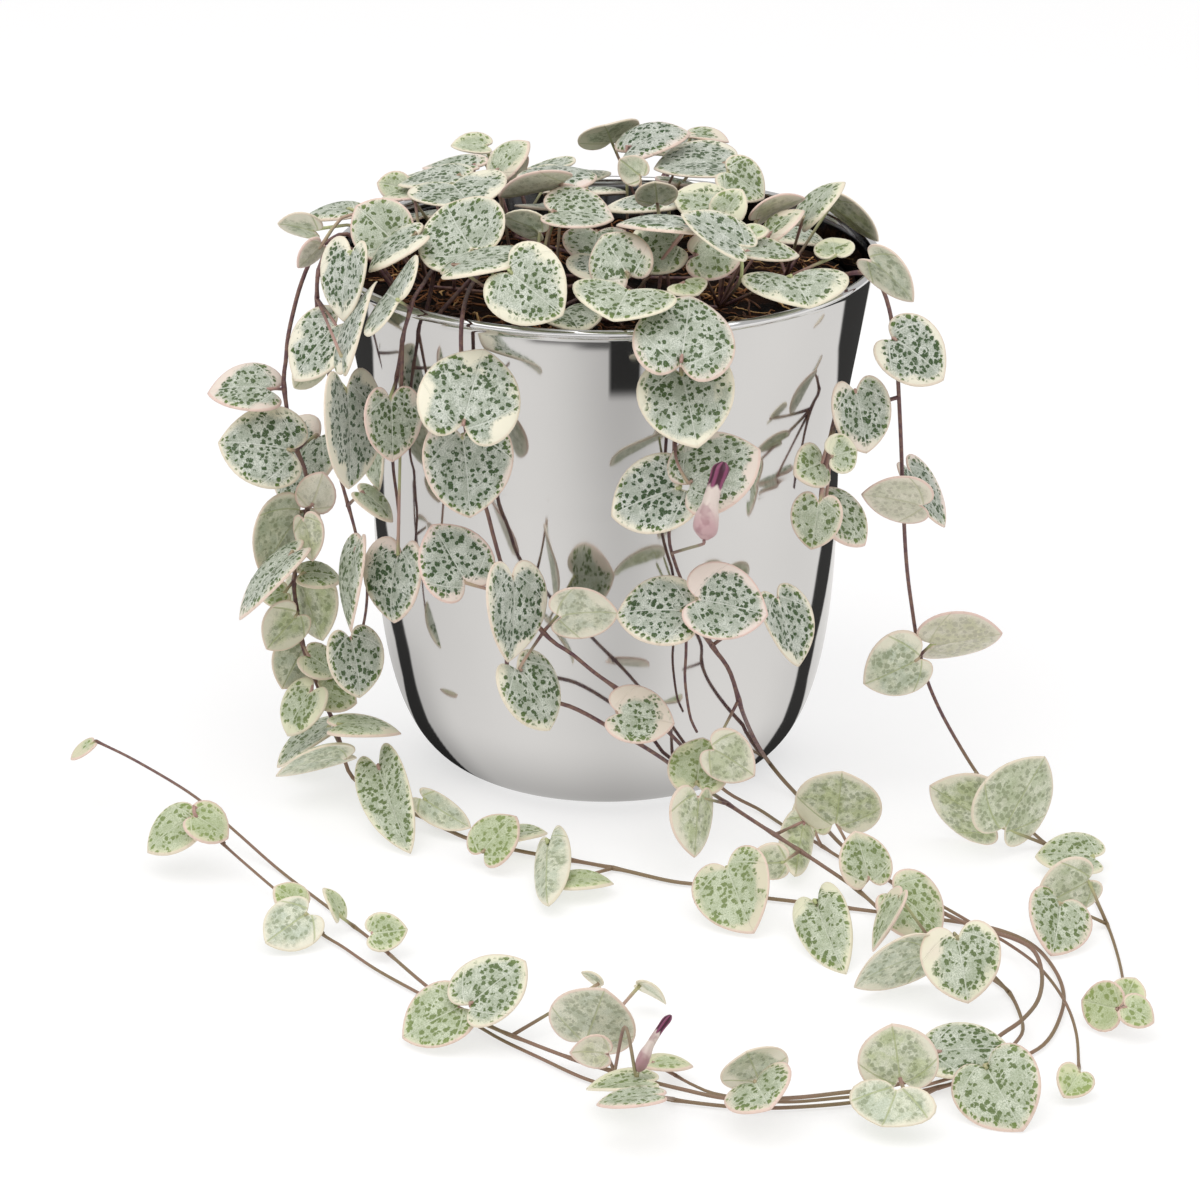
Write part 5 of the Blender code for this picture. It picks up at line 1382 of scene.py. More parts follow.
# Cells for spots and for rings of spots to a millimetre, and a spot's size in shares of a cell
SPOT_CELLS = 0.86
RING_CELLS = 0.40
SPOT_SIZE = 0.62
SPOT_SPREAD = 0.22
# How the lathe's fine lines are stretched round the pot
LATHE_LINES = (60.0, 60.0, 2400.0)

# The colours
SILVER_DULL = colour(184, 190, 177)
SILVER_PALE = colour(219, 222, 213)
VEIN_PALE = colour(228, 231, 222)
LEAF_DARK = colour(46, 72, 34)
LEAF_OLIVE = colour(84, 108, 42)
LEAF_YOUNG = colour(184, 199, 124)
SPECKLE = colour(112, 124, 106)
CREAM = colour(240, 234, 214)
CREAM_PINK = colour(238, 221, 212)
# The underside's own colours, brightened as painted light for the light passing through the leaf
UNDER_PALE_PAINTED_LIGHT = colour(226, 228, 208)
UNDER_GREEN_PAINTED_LIGHT = colour(204, 211, 167)
UNDER_MARK = colour(142, 154, 108)
UNDER_SPOT = colour(104, 116, 76)
UNDER_SILVER_PAINTED_LIGHT = colour(204, 211, 194)
UNDER_VEIN = colour(166, 176, 118)
EDGE_YELLOW = colour(237, 228, 203)
EDGE_PINK = colour(232, 199, 188)
STEM_PURPLE = colour(96, 66, 72)
STEM_BROWN = colour(126, 96, 84)
STEM_TAN = colour(150, 122, 100)
STEM_OLIVE = colour(136, 128, 84)
STALK_PINK = colour(178, 142, 132)
STALK_GREEN = colour(178, 184, 132)
STEEL_DULL = colour(214, 213, 212)
STEEL_BRIGHT = colour(224, 223, 222)
# Painted shade and painted reflection of the soil, for the steel inside the pot
STEEL_INSIDE_PAINTED_SHADE = colour(92, 92, 94)
# The coir's own dark brown, darkened further as painted shade
SOIL_BLACK_PAINTED_SHADE = colour(14, 9, 6)
SOIL_RUST_PAINTED_SHADE = colour(44, 27, 17)
SOIL_FLECK_PAINTED_SHADE = colour(98, 64, 38)
FIBRE_DARK = colour(66, 38, 22)
FIBRE_RUST = colour(144, 92, 52)
FIBRE_STRAW = colour(222, 178, 118)
PETAL_ROSE = colour(190, 156, 158)
PETAL_VEIN = colour(148, 104, 112)
PETAL_PALE = colour(216, 201, 192)
PETAL_DARK = colour(70, 22, 46)
PETAL_WINE = colour(132, 66, 98)
BUD_STRAW = colour(196, 178, 160)


class Shader:
    """A Principled material under construction."""

    def __init__(self, name, roughness=0.5, metallic=0.0):
        self.made = bpy.data.materials.new(name)
        self.made.use_nodes = True
        self.tree = self.made.node_tree
        self.surface = self.tree.nodes["Principled BSDF"]
        self.surface.inputs["Roughness"].default_value = roughness
        self.surface.inputs["Metallic"].default_value = metallic

    def node(self, kind, **settings):
        """A new node with these settings."""
        made = self.tree.nodes.new(kind)
        for key, value in settings.items():
            setattr(made, key, value)
        return made

    def wire(self, source, target):
        """Sets an input from a socket or a plain value."""
        if isinstance(source, bpy.types.NodeSocket):
            self.tree.links.new(source, target)
        else:
            target.default_value = source

    def math(self, operation, first, second=0.0, third=0.0, clamp=False):
        """The result of one sum on up to three values."""
        made = self.node("ShaderNodeMath", operation=operation, use_clamp=clamp)
        for value, socket in zip((first, second, third), made.inputs):
            self.wire(value, socket)
        return made.outputs[0]

    def times(self, first, second, clamp=False):
        """The two values multiplied."""
        return self.math("MULTIPLY", first, second, clamp=clamp)

    def scaled(self, value, factor, other):
        """The value times the factor, plus the other."""
        return self.math("MULTIPLY_ADD", value, factor, other)

    def mix(self, share, first, second):
        """A mix of two colours, with this share of the second."""
        made = self.node("ShaderNodeMix", data_type="RGBA")
        for value, name in ((share, "Factor"), (first, "A"), (second, "B")):
            self.wire(value, made.inputs[name])
        return made.outputs["Result"]

    def blend(self, value, low, high, first, second):
        """The first below low, the second above high, and a smooth mix between."""
        return self.mix(self.step(value, low, high), first, second)

    def tint(self, share, most, first, second):
        """The first, with a share of at most this much of the second."""
        return self.mix(self.times(share, most), first, second)

    def step(self, value, low, high):
        """0 below low, 1 above high, and smooth between. With low above high it falls."""
        made = self.node("ShaderNodeMapRange", interpolation_type="SMOOTHSTEP")
        for source, socket in zip((value, low, high), made.inputs):
            self.wire(source, socket)
        return made.outputs["Result"]

    def noise(self, place, scale, detail=2.0, roughness=0.5, kind="Fac"):
        """Soft noise at this many waves to a unit of the place."""
        made = self.node("ShaderNodeTexNoise")
        self.wire(place, made.inputs["Vector"])
        for key, value in (("Scale", scale), ("Detail", detail), ("Roughness", roughness)):
            made.inputs[key].default_value = value
        return made.outputs[kind]

    def cells(self, place, scale):
        """Rounded cells, with the distance from their middles and a colour each."""
        made = self.node("ShaderNodeTexVoronoi")
        self.wire(place, made.inputs["Vector"])
        made.inputs["Scale"].default_value = scale
        return made

    def value(self, name, kind="Fac"):
        """What the mesh keeps at its corners under this name."""
        return self.node("ShaderNodeAttribute", attribute_name=name).outputs[kind]

    def place(self):
        """Where a point is on its object, which never moves."""
        return self.node("ShaderNodeTexCoord").outputs["Object"]

    def set(self, **values):
        """Sets inputs of the surface, with an underscore for each space of their names."""
        for name, value in values.items():
            self.wire(value, self.surface.inputs[name.replace("_", " ")])

    def parts(self, vector):
        """The three numbers of a vector or a colour."""
        made = self.node("ShaderNodeSeparateXYZ")
        self.wire(vector, made.inputs[0])
        return made.outputs

    def stirred(self, place, swirl, share):
        """A place, shifted by a share of the swirl there."""
        scale = self.node("ShaderNodeVectorMath", operation="SCALE")
        self.wire(swirl, scale.inputs["Vector"])
        self.wire(share, scale.inputs["Scale"])
        made = self.node("ShaderNodeVectorMath", operation="ADD")
        self.wire(place, made.inputs[0])
        self.wire(scale.outputs[0], made.inputs[1])
        return made.outputs[0]

    def bump(self, height, distance, strength=1.0):
        """Relief that only the light shows, this deep."""
        made = self.node("ShaderNodeBump")
        self.wire(height, made.inputs["Height"])
        made.inputs["Distance"].default_value = distance
        made.inputs["Strength"].default_value = strength
        self.wire(made.outputs[0], self.surface.inputs["Normal"])

    def paint(self, source):
        """Sets the surface's colour."""
        self.wire(source, self.surface.inputs["Base Color"])


def leaf_veins(shader, along, across):
    """How near a point is to the midrib or a side vein, 1 on it, and 0 away from it."""
    back = shader.math("ADD", along, VEIN_START)
    angle = shader.math("ARCTAN2", across, back)
    squares = [shader.math("POWER", side, 2.0) for side in (back, across)]
    reach = shader.math("SQRT", shader.math("ADD", *squares))
    bent = shader.times(angle, shader.scaled(reach, VEIN_BEND, 1.0))
    folded = shader.math("PINGPONG", bent, VEIN_SPREAD / 2.0)
    off = shader.times(shader.math("ABSOLUTE", folded), reach)
    return shader.step(off, VEIN_WIDTH, 0.10)


def leaf_material():
    """Silver with dark green spots between pale veins, a cream margin and a pink edge."""
    shader = Shader("variegated_leaf", roughness=0.42)
    shader.set(Specular_IOR_Level=0.35)
    at = shader.value("leaf_at", "Vector")
    rim = shader.value("leaf_rim")
    face = shader.value("leaf_face")
    cream_share, young, blush = shader.parts(shader.value("leaf_tone", "Vector"))
    along, across, seed = shader.parts(at)
    ragged = shader.noise(at, 1.5, 2.0)
    fine = shader.noise(at, 4.2, 3.0, 0.70)
    broad = shader.noise(at, 0.35, 2.0)
    sectors = shader.noise(at, 0.13, 1.0)
    veins = leaf_veins(shader, along, across)
    own = shader.node("ShaderNodeTexWhiteNoise", noise_dimensions="1D")
    shader.wire(seed, own.inputs["W"])
    luck = own.outputs["Value"]

    # How far the cream of the margin reaches in from the rim
    reach = shader.times(cream_share, CREAM_REACH)
    width = shader.times(shader.step(sectors, 0.38, 0.82), reach)
    inside = shader.math("SUBTRACT", shader.scaled(ragged, 1.1, width), rim)
    margin = shader.step(shader.scaled(fine, 0.8, inside), -0.7, 1.3)

    # Spots: rounded cells of their own sizes, gathered in rings and along the rim
    swirl = shader.noise(at, 0.7, 2.0, kind="Color")
    cell = shader.cells(shader.stirred(at, swirl, 1.0), SPOT_CELLS)
    pick, size, _ = shader.parts(cell.outputs["Color"])
    away = shader.scaled(ragged, 0.36, cell.outputs["Distance"])
    away = shader.scaled(fine, 0.22, away)
    radius = shader.scaled(size, SPOT_SPREAD, SPOT_SIZE)
    spot = shader.step(shader.math("SUBTRACT", away, radius), 0.06, -0.06)
    flock = shader.cells(shader.stirred(at, swirl, 2.2), RING_CELLS).outputs["Distance"]
    ring = shader.step(shader.math("ABSOLUTE", shader.math("SUBTRACT", flock, 0.40)), 0.20, 0.06)
    near_rim = shader.step(rim, 2.6, 1.0)
    chance = shader.scaled(pick, 0.36, shader.noise(at, 0.30, 1.0))
    for source, share in ((luck, 0.10), (ring, 0.11), (young, -0.06), (near_rim, 0.08)):
        chance = shader.scaled(source, share, chance)
    spot = shader.times(spot, shader.step(chance, 0.63, 0.67))
    spot = shader.times(spot, shader.step(inside, 1.0, 0.0))
    spot = shader.times(spot, shader.math("SUBTRACT", 1.0, veins, clamp=True))

    # The upper face
    silver = shader.blend(broad, 0.35, 0.65, SILVER_DULL, SILVER_PALE)
    silver = shader.blend(fine, 0.34, 0.62, shader.mix(0.75, silver, SPECKLE), silver)
    silver = shader.tint(veins, 0.40, silver, VEIN_PALE)
    cream = shader.mix(shader.step(shader.times(blush, sectors), 0.25, 0.5), CREAM, CREAM_PINK)
    top = shader.mix(margin, silver, cream)
    dark = shader.blend(rim, 0.4, 2.2, LEAF_OLIVE, LEAF_DARK)
    dark = shader.blend(fine, 0.50, 0.68, dark, shader.mix(0.32, dark, SILVER_DULL))
    top = shader.mix(spot, top, dark)
    top = shader.mix(shader.times(young, 0.50, clamp=True), top, LEAF_YOUNG)

    # The underside: its own pale colours, brightened further as painted light for the light passing
    # through the leaf
    hue = shader.blend(luck, 0.35, 0.75, UNDER_SILVER_PAINTED_LIGHT, UNDER_GREEN_PAINTED_LIGHT)
    below = shader.blend(broad, 0.35, 0.65, UNDER_PALE_PAINTED_LIGHT, hue)
    for source, share, tint in (
        (shader.step(fine, 0.60, 0.36), 0.40, UNDER_MARK),
        (shader.step(chance, 0.60, 0.85), 0.30, UNDER_MARK),
        (spot, 0.45, UNDER_SPOT),
        (margin, 0.8, CREAM),
        (veins, 0.60, UNDER_VEIN),
        (shader.step(blush, 0.62, 1.0), 0.35, CREAM_PINK),
    ):
        below = shader.tint(source, share, below, tint)
    skin = shader.blend(face, 0.25, 0.75, below, top)
    edge = shader.mix(blush, EDGE_YELLOW, EDGE_PINK)
    shader.paint(shader.tint(shader.step(rim, 0.50, 0.20), 0.8, skin, edge))
    shader.bump(shader.scaled(veins, -0.5, shader.times(fine, 0.35)), 0.22 * MM, 0.8)
    return shader.made


def stem_material():
    """Purple-brown wood, paler and greener along the stalks and where it lies on the table."""
    shader = Shader("trailing_stem", roughness=0.5)
    place = shader.place()
    age = shader.value("age")
    height = shader.parts(place)[2]
    speckle = shader.noise(place, 900.0, 3.0)
    broad = shader.noise(place, 60.0, 2.0)
    bark = shader.blend(speckle, 0.35, 0.65, STEM_PURPLE, STEM_BROWN)
    tan = shader.blend(broad, 0.35, 0.65, STEM_TAN, STEM_OLIVE)
    tan = shader.mix(0.55, tan, STEM_BROWN)
    bark = shader.blend(height, 16.0 * MM, 2.0 * MM, bark, tan)
    stalk = shader.blend(broad, 0.40, 0.60, STALK_PINK, STALK_GREEN)
    bark = shader.blend(age, 1.15, 1.75, bark, stalk)
    shader.paint(bark)
    shader.bump(speckle, 0.15 * MM, 0.5)
    return shader.made


def metal_material():
    """Steel polished on a lathe: it mirrors what is near and smears what is far up and down. Inside
    the pot it is painted dark, as painted shade and a painted reflection of the dark soil.
    """
    shader = Shader("polished_steel", roughness=0.075, metallic=1.0)
    round_axis = shader.node("ShaderNodeTangent", direction_type="RADIAL", axis="Z")
    shader.set(Anisotropic=0.75, Anisotropic_Rotation=0.25, Tangent=round_axis.outputs[0])
    place = shader.place()
    haze = shader.noise(place, 30.0, 3.0)
    stretch = shader.node("ShaderNodeMapping")
    stretch.inputs["Scale"].default_value = LATHE_LINES
    shader.wire(place, stretch.inputs["Vector"])
    lines = shader.noise(stretch.outputs[0], 1.0, 2.0)
    steel = shader.mix(haze, STEEL_DULL, STEEL_BRIGHT)
    # Painted shade: the steel inside the pot is painted dark, standing for shade and the dark soil
    # it mirrors
    shader.paint(shader.mix(shader.value("inside"), steel, STEEL_INSIDE_PAINTED_SHADE))
    shader.bump(lines, 0.003 * MM, 0.3)
    return shader.made


def soil_material():
    """Dark brown coir with lighter flecks, its colours darkened further as painted shade."""
    shader = Shader("coir", roughness=0.95)
    shader.set(Specular_IOR_Level=0.15)
    place = shader.place()
    broad = shader.noise(place, 160.0, 4.0, 0.6)
    grain = shader.noise(place, 900.0, 3.0, 0.7)
    # Painted shade: the coir's colours are darker than the coir itself
    earth = shader.blend(broad, 0.35, 0.68, SOIL_BLACK_PAINTED_SHADE, SOIL_RUST_PAINTED_SHADE)
    shader.paint(shader.tint(shader.step(grain, 0.60, 0.72), 0.5, earth, SOIL_FLECK_PAINTED_SHADE))
    shader.bump(shader.math("ADD", broad, shader.times(grain, 0.5)), 1.2 * MM, 1.0)
    return shader.made


def fibre_material():
    """Root fibres, from rust to straw along and between them."""
    shader = Shader("root_fibre", roughness=0.7)
    place = shader.place()
    age = shader.value("age")
    broad = shader.noise(place, 300.0, 2.0)
    rust = shader.blend(broad, 0.35, 0.65, FIBRE_DARK, FIBRE_RUST)
    shader.paint(shader.blend(age, 0.55, 1.0, rust, FIBRE_STRAW))
    shader.bump(broad, 0.2 * MM, 0.6)
    return shader.made


def petal_material():
    """Mauve flowers: a rosy bulb, a pale streaked tube, and a dark purple cap at the tip."""
    shader = Shader("petal", roughness=0.45)
    place = shader.place()
    age = shader.value("age")
    mottle = shader.noise(place, 700.0, 3.0)
    streaks = shader.noise(place, 320.0, 2.0)
    ragged = shader.scaled(mottle, 0.06, age)
    tube = shader.blend(ragged, 0.18, 0.50, PETAL_ROSE, PETAL_PALE)
    tube = shader.tint(shader.step(streaks, 0.48, 0.62), 0.55, tube, PETAL_VEIN)
    fold = shader.scaled(mottle, 0.8, shader.value("fold"))
    cap = shader.blend(fold, 0.1, 1.1, PETAL_DARK, PETAL_WINE)
    skin = shader.blend(ragged, 0.68, 0.73, tube, cap)
    shader.paint(shader.blend(age, 1.5, 1.9, skin, BUD_STRAW))
    shader.bump(mottle, 0.2 * MM, 0.6)
    return shader.made


# The pot and the soil
POT_SIDES = 180
FINE_BOWL = 40
FINE_LIP = 14
SOIL_SPOKES = 150
SOIL_CIRCLES = 46
SOIL_LUMP = 1.5 * MM
# Layers of lumps: their share, where their noise is read, and how many there are to a metre
SOIL_LUMPS = ((0.8, 0.3, 150.0), (0.45, 5.3, 380.0), (0.25, 9.1, 900.0))
SOIL_SINK = 2.4 * MM
# Heights of the rings down the wall of the pot, and down the side of its fill, in metres
WALL_HEIGHTS = (0.1152, 0.1145, 0.112, 0.108, 0.100, 0.092, 0.084, 0.078)
SOIL_HEIGHTS = (0.095, 0.077, 0.05, 0.025, 0.012, 0.006)
FIBRES = 620
FIBRE_SEED = 5
FIBRE_RADIUS = 0.20 * MM
FIBRE_STEP = 1.1 * MM
FIBRE_LIFT = 0.1 * MM
FIBRE_SIDES = 5
# What is drawn for a fibre: its place, arch in millimetres, points, turns and thickness
FIBRE_PLACES = (0.15, 1.0)
FIBRE_ARCHES = (0.2, 2.6)
FIBRE_POINTS = (6, 15)
FIBRE_TURN = 0.5
FIBRE_THICKNESSES = (0.6, 1.7)


def lathe(name, profile, sides, look):
    """A profile in X and Z turned about the Z axis, with its ends on the axis."""
    mesh = bpy.data.meshes.new(name)
    edges = [(i, i + 1) for i in range(len(profile) - 1)]
    mesh.from_pydata([(x, 0.0, z) for x, z in profile], edges, [])
    made = bpy.data.objects.new(name, mesh)
    bpy.context.scene.collection.objects.link(made)
    screw = made.modifiers.new("Turn", "SCREW")
    screw.steps = sides
    screw.render_steps = sides
    screw.use_merge_vertices = True
    screw.merge_threshold = 0.01 * MM
    graph = bpy.context.evaluated_depsgraph_get()
    made.data = bpy.data.meshes.new_from_object(made.evaluated_get(graph))
    made.modifiers.clear()
    made.data.materials.append(look)
    made.data.shade_smooth()
    return made


def fine_pot(look):
    """The pot with its rolled lip, and a foot with a small round edge."""
    outside = [(wall_radius(z), z) for z in (POT_HEIGHT - LIP_UNDER,) + WALL_HEIGHTS]
    for step in range(FINE_BOWL + 1):
        angle = 0.5 * math.pi * step / FINE_BOWL
        height = BOWL_TOP * (1.0 - math.sin(angle) ** (2.0 / BOWL_POWER))
        outside.append((wall_radius(height), height))
    outside[-1] = (FOOT_RADIUS, 0.0)
    inside = [(r - WALL, z) for r, z in outside if z > 2.0 * INSIDE_FLOOR]
    lip = []
    for step in range(FINE_LIP):
        angle = math.pi * (1.1 - 1.3 * step / (FINE_LIP - 1))
        height = POT_HEIGHT - LIP_RADIUS * (1.0 - math.sin(angle))
        lip.append((RIM_RADIUS - LIP_RADIUS + LIP_RADIUS * math.cos(angle), height))
    floor = [(0.0, INSIDE_FLOOR), (FOOT_RADIUS, INSIDE_FLOOR)]
    profile = floor + inside[::-1] + lip + outside + [(0.0, 0.0)]
    pot = lathe("pot_polished", profile, POT_SIDES, look)
    # Corners inside the wall take the painted shade of the steel there
    places = [vertex.co for vertex in pot.data.vertices]
    painted_shade_inside = [from_axis(place) < wall_radius(place.z) - 0.9 * WALL for place in places]
    put_values(pot.data, "inside", [float(flag) for flag in painted_shade_inside])
    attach(pot, "root")
    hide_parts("pot")


def soil_lump(x, y):
    """The height of the rough coir over its level, at a place in plan."""
    lumps = [share * noise.noise(Vector((x, y, z)) * scale) for share, z, scale in SOIL_LUMPS]
    return SOIL_LUMP * sum(lumps)


def fine_soil(look, holes):
    """The rough top of the coir, sunk where the stems stand in it, and the fill below."""
    edge = wall_radius(SOIL_TOP) - WALL - SOIL_GAP
    corners = [(0.0, 0.0, SOIL_TOP + soil_lump(0.0, 0.0))]
    for circle in range(1, SOIL_CIRCLES + 1):
        for x, y, _ in circle_at(edge * circle / SOIL_CIRCLES, 0.0, SOIL_SPOKES):
            near = min(math.hypot(x - hole.x, y - hole.y) for hole in holes)
            sink = SOIL_SINK * math.exp(-((near / HOLE_RADIUS) ** 2))
            corners.append((x, y, SOIL_TOP + soil_lump(x, y) - sink))
    faces = [(0, 1 + k, 1 + (k + 1) % SOIL_SPOKES) for k in range(SOIL_SPOKES)]
    sides = [(wall_radius(z) - WALL - SOIL_GAP, z) for z in SOIL_HEIGHTS]
    sides.append((FOOT_RADIUS, INSIDE_FLOOR + SOIL_GAP))
    for radius, height in sides:
        corners += circle_at(radius, height, SOIL_SPOKES)
    rings = ring_faces(1, SOIL_CIRCLES + len(sides), SOIL_SPOKES)
    faces += [(a, d, c, b) for a, b, c, d in rings]
    faces.append(tuple(range(len(corners) - 1, len(corners) - 1 - SOIL_SPOKES, -1)))
    soil = shown_mesh("coir_fill", corners, faces, look)
    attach(soil, "root")
    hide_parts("soil")


def root_fibres(look):
    """Wavy fibres that lie on the coir. None starts near its middle."""
    draw = random.Random(FIBRE_SEED)
    fibres = Tubes()
    most = wall_radius(SOIL_TOP) - WALL - 1.2 * MM
    for _ in range(FIBRES):
        radius = most * math.sqrt(draw.uniform(*FIBRE_PLACES))
        turn = draw.uniform(0.0, math.tau)
        heading = draw.uniform(0.0, math.tau)
        x = radius * math.cos(turn)
        y = radius * math.sin(turn)
        arch = draw.uniform(*FIBRE_ARCHES) * MM * draw.random()
        count = draw.randint(*FIBRE_POINTS)
        path = []
        for step in range(count):
            share = step / (count - 1)
            height = SOIL_TOP + soil_lump(x, y) + FIBRE_LIFT + arch * math.sin(math.pi * share)
            path.append(Vector((x, y, height)))
            heading += draw.uniform(-FIBRE_TURN, FIBRE_TURN)
            x += FIBRE_STEP * math.cos(heading)
            y += FIBRE_STEP * math.sin(heading)
            if math.hypot(x, y) > most:
                break
        if len(path) < 4:
            continue
        # Straw is rare at the left and common at the right, as in the photo
        age = draw.random() ** (4.0 - 3.0 * soft_step(x, -20.0 * MM, 25.0 * MM))
        thick = FIBRE_RADIUS * draw.uniform(*FIBRE_THICKNESSES)
        radii = [thick * (1.0 - 0.6 * i / len(path)) for i in range(len(path))]
        fibres.add(path, radii, FIBRE_SIDES, [age] * len(path))
    made = fibres.built("root_fibres", look)
    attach(made, "root")
    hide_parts("soil")


# The flowers, finer than their solids
FLOWER_SIDES = 30
FLOWER_PARTS = 48
FLOWER_RIBS = 5
FLOWER_BEND = 0.6 * MM
CAP_SLIM = 0.16
BUD_AGE = 2.0
BUD_RIB = 0.20


def fine_flower(flower, path, look):
    """A bulb, a narrow tube and a ribbed cap, along the flower's line with a slight bend."""
    start = path[0]
    end = path[-1]
    aim = (end - start).normalized()
    side = aim.cross(Vector((0.0, 1.0, 0.0))).normalized()
    other = aim.cross(side)
    bud = flower.node == "flower_bud"
    widths = [(0.0, 0.12)] + [(s + 0.015, w) for s, w in FLOWER_FORM[:-1]] + [(1.0, 0.2)]
    corners = []
    ages = []
    folds = []
    for share, width in sample(widths, FLOWER_PARTS):
        rib = BUD_RIB if bud else 0.04 + 0.18 * soft_step(share, 0.60, 0.85)
        slim = 1.0 - CAP_SLIM * soft_step(share, 0.55, 0.8)
        middle = start.lerp(end, share) + side * (FLOWER_BEND * math.sin(math.pi * share))
        for step in range(FLOWER_SIDES):
            angle = math.tau * step / FLOWER_SIDES
            fold = math.cos(FLOWER_RIBS * angle + 1.5 * share)
            radius = 0.5 * width * flower.width * MM * (1.0 + rib * fold) * slim
            spoke = math.cos(angle) * side + math.sin(angle) * other
            corners.append(middle + radius * spoke)
            ages.append(BUD_AGE if bud else share + 0.03 * fold)
            folds.append(fold)
    faces = ring_faces(0, FLOWER_PARTS + 1, FLOWER_SIDES)
    faces.append(tuple(range(FLOWER_SIDES))[::-1])
    faces.append(tuple(range(FLOWER_PARTS * FLOWER_SIDES, (FLOWER_PARTS + 1) * FLOWER_SIDES)))
    made = shown_mesh(flower.node + "_fine", corners, faces, look, age=ages, fold=folds)
    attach(made, "root")
    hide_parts(flower.node)


# The studio: a white floor, soft light, and a glowing screen that only the polished metal mirrors,
# lit in bands that paint the pot's reflections
FLOOR_SIZE = 20.0
FLOOR_GLOW = 0.63
WORLD_LIGHT = 0.60
# The lamps, in metres: name, place, size and power
LAMPS = [("key", (0.35, -0.7, 1.8), 2.0, 15.0), ("fill", (-0.8, -0.5, 1.5), 1.5, 9.0)]
LAMP_AIM = 0.05
SENSOR = 36.0
SCREEN_LIFT = 1.0 * MM
SCREEN_REACH = 16.0 * MM
SCREEN_ROWS = 120
SCREEN_COLUMNS = 420
SCREEN_SIDE = 84.0
SCREEN_LOW = 2.5 * MM
# How bright and how dark the screen's painted reflection on the pot is
PAINTED_REFLECTION_BRIGHT = 0.91
PAINTED_REFLECTION_DARK = 0.95
SLOPE_STEP = 0.5 * MM
# The dark bands of the painted reflection on the screen: height in millimetres, then the degrees
# round the pot where it lies
PAINTED_REFLECTION_BANDS = [
    (0.0, 44.0, 66.0), (8.0, 50.0, 71.0), (17.0, 56.5, 69.0), (25.0, 58.0, 66.5),
    (34.0, 58.7, 67.5), (43.0, 61.5, 72.0), (52.0, 64.0, 76.5), (62.0, 68.0, 81.0),
    (72.0, 69.5, 84.0), (90.0, 66.5, 84.0), (104.0, 61.0, 80.0), (118.0, 59.5, 77.0),
]


def floor():
    """A white floor that glows a little, so that it stays white in the picture."""
    shader = Shader("studio_floor", roughness=0.9)
    shader.set(Specular_IOR_Level=0.0, Base_Color=colour(170, 169, 169),
               Emission_Color=(1.0, 1.0, 1.0, 1.0), Emission_Strength=FLOOR_GLOW)
    half = FLOOR_SIZE / 2.0
    corners = [(-half, -half, 0.0), (half, -half, 0.0), (half, half, 0.0), (-half, half, 0.0)]
    shown_mesh("floor", corners, [(0, 1, 2, 3)], shader.made)


def mirrored(degrees, height):
    """Where the screen stands on the line of sight that glances off the wall at this spot."""
    radius = wall_radius(height)
    lower = wall_radius(height - SLOPE_STEP)
    slope = math.atan2(radius - lower, SLOPE_STEP)
    out = level(math.radians(degrees - 90.0))
    normal = (out * math.cos(slope) - upright(math.sin(slope))).normalized()
    spot = out * radius + upright(height)
    ray = (spot - EYE).normalized()
    bounce = ray - 2.0 * ray.dot(normal) * normal
    reach = SCREEN_REACH
    if bounce.z < 0.0:
        reach = min(reach, (SCREEN_LIFT - spot.z) / bounce.z)
    return spot + bounce * reach


def band_edges(height):
    """The degrees between which a side band lies at a height in millimetres."""
    after = next(i for i, row in enumerate(PAINTED_REFLECTION_BANDS) if row[0] >= height)
    low, high = PAINTED_REFLECTION_BANDS[max(after - 1, 0)], PAINTED_REFLECTION_BANDS[after]
    share = (height - low[0]) / max(high[0] - low[0], 1.0)
    return [a + share * (b - a) for a, b in zip(low[1:], high[1:])]


def painted_reflection_tone(degrees, height):
    """How bright the screen is where a spot on the pot mirrors it, in degrees and millimetres: the
    painted reflection on the pot.
    """
    # A painted grey dip in the pot's reflection at the front, deeper towards the rim
    dip = math.exp(-(((degrees - 4.0) / 12.0) ** 2))
    depth = 0.24 - 0.14 * soft_step(height, 45.0, 18.0) + 0.10 * soft_step(height, 60.0, 108.0)
    tone = PAINTED_REFLECTION_BRIGHT - depth * dip
    # The painted reflection darker to both sides, and painted shade towards the foot
    tone -= 0.10 * soft_step(-degrees, 18.0, 50.0) + 0.05 * soft_step(degrees, 35.0, 60.0)
    tone *= 1.0 - 0.42 * soft_step(height, 22.0, 2.0)
    # A dark band painted in the reflection at each side, with painted shade before it low down
    inner, outer = band_edges(height)
    away = abs(degrees)
    shade = 0.30 if degrees < 0.0 else 0.10
    tone *= 1.0 - shade * soft_step(away, inner - 16.0, inner) * soft_step(height, 50.0, 20.0)
    band = soft_step(away, inner - 0.6, inner + 0.6) * soft_step(away, outer + 0.6, outer - 0.6)
    # A dark block painted in the reflection under the rim, and a dark strip painted just below the
    # lip that reaches to its left
    block = soft_step(degrees, 0.4, 1.0) * soft_step(degrees, 7.4, 6.8)
    block *= soft_step(height, 101.5, 104.5)
    under = 115.4 - 1.7 * soft_step(degrees, -24.0, 0.0)
    line = soft_step(degrees, -38.0, -34.0) * soft_step(degrees, 7.6, 6.6)
    line *= soft_step(height, under, under + 0.4)
    return tone * (1.0 - PAINTED_REFLECTION_DARK * max(band, block, 0.85 * line))


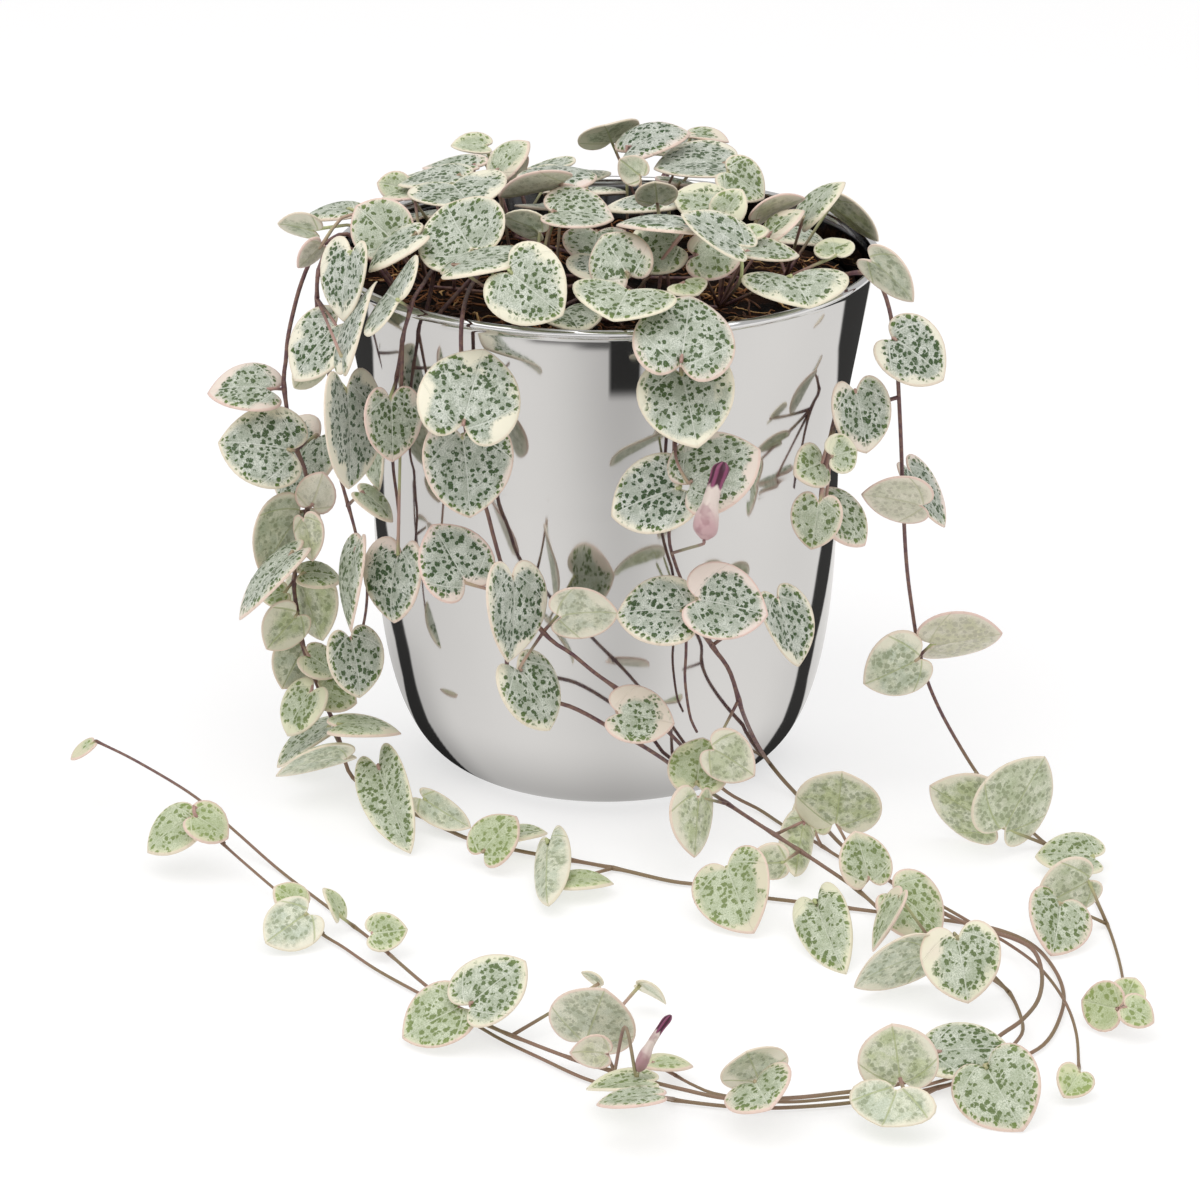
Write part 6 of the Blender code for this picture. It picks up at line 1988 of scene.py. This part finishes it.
def screen():
    """A curved glowing screen round the front of the pot, lit in bands, which only the metal
    mirrors: it paints the pot's reflections, laid out for the viewpoint.
    """
    corners = []
    painted_reflection_tones = []
    for row in range(SCREEN_ROWS + 1):
        height = SCREEN_LOW + (POT_HEIGHT - SCREEN_LOW) * row / SCREEN_ROWS
        for column in range(SCREEN_COLUMNS + 1):
            degrees = SCREEN_SIDE * (2.0 * column / SCREEN_COLUMNS - 1.0)
            corners.append(tuple(mirrored(degrees, height)))
            painted_reflection_tones.append(painted_reflection_tone(degrees, height / MM))
    faces = []
    across = SCREEN_COLUMNS + 1
    for row in range(SCREEN_ROWS):
        for column in range(SCREEN_COLUMNS):
            a = row * across + column
            faces.append((a, a + 1, a + across + 1, a + across))
    # The screen glows in the tones of the painted reflection, and lights nothing
    shader = Shader("screen", roughness=1.0)
    shader.set(Base_Color=(0.0, 0.0, 0.0, 1.0), Specular_IOR_Level=0.0,
               Emission_Color=(1.0, 0.985, 0.965, 1.0), Emission_Strength=shader.value("tone"))
    made = shown_mesh("screen", corners, faces, shader.made, tone=painted_reflection_tones)
    made.visible_camera = False
    made.visible_diffuse = False
    made.visible_shadow = False
    made.visible_transmission = False


def lights():
    """An even white world, and two soft lamps from the front."""
    world = bpy.data.worlds.new("studio")
    world.use_nodes = True
    back = world.node_tree.nodes["Background"]
    back.inputs["Color"].default_value = (1.0, 1.0, 1.0, 1.0)
    back.inputs["Strength"].default_value = WORLD_LIGHT
    bpy.context.scene.world = world
    for name, spot, size, power in LAMPS:
        lamp = bpy.data.lights.new(name, "AREA")
        lamp.size = size
        lamp.energy = power
        made = bpy.data.objects.new(name, lamp)
        made.location = spot
        ray = upright(LAMP_AIM) - Vector(spot)
        made.rotation_euler = ray.to_track_quat("-Z", "Y").to_euler()
        bpy.context.scene.collection.objects.link(made)


def camera():
    """The viewpoint of the photo."""
    eye = bpy.data.cameras.new("photo_view")
    eye.sensor_width = SENSOR
    eye.lens = FOCAL_PIXELS / (2.0 * PICTURE_MIDDLE) * SENSOR
    eye.clip_start = 0.01
    made = bpy.data.objects.new("photo_view", eye)
    made.location = EYE
    made.rotation_euler = (0.5 * math.pi - VIEW_PITCH, 0.0, 0.0)
    bpy.context.scene.collection.objects.link(made)
    bpy.context.scene.camera = made
    bpy.context.scene.view_settings.view_transform = "Standard"


def main():
    """Builds the studio and every piece."""
    camera()
    lights()
    floor()
    screen()
    sprays, flowers, holes = grown_sprays()
    looks = {"leaf": leaf_material(), "stem": stem_material()}
    for number, spray in enumerate(sprays):
        dress_spray(spray, looks, number, [path[0] for _, path in flowers])
    petal = petal_material()
    for flower, path in flowers:
        fine_flower(flower, path, petal)
    fine_pot(metal_material())
    fine_soil(soil_material(), holes)
    root_fibres(fibre_material())


main()
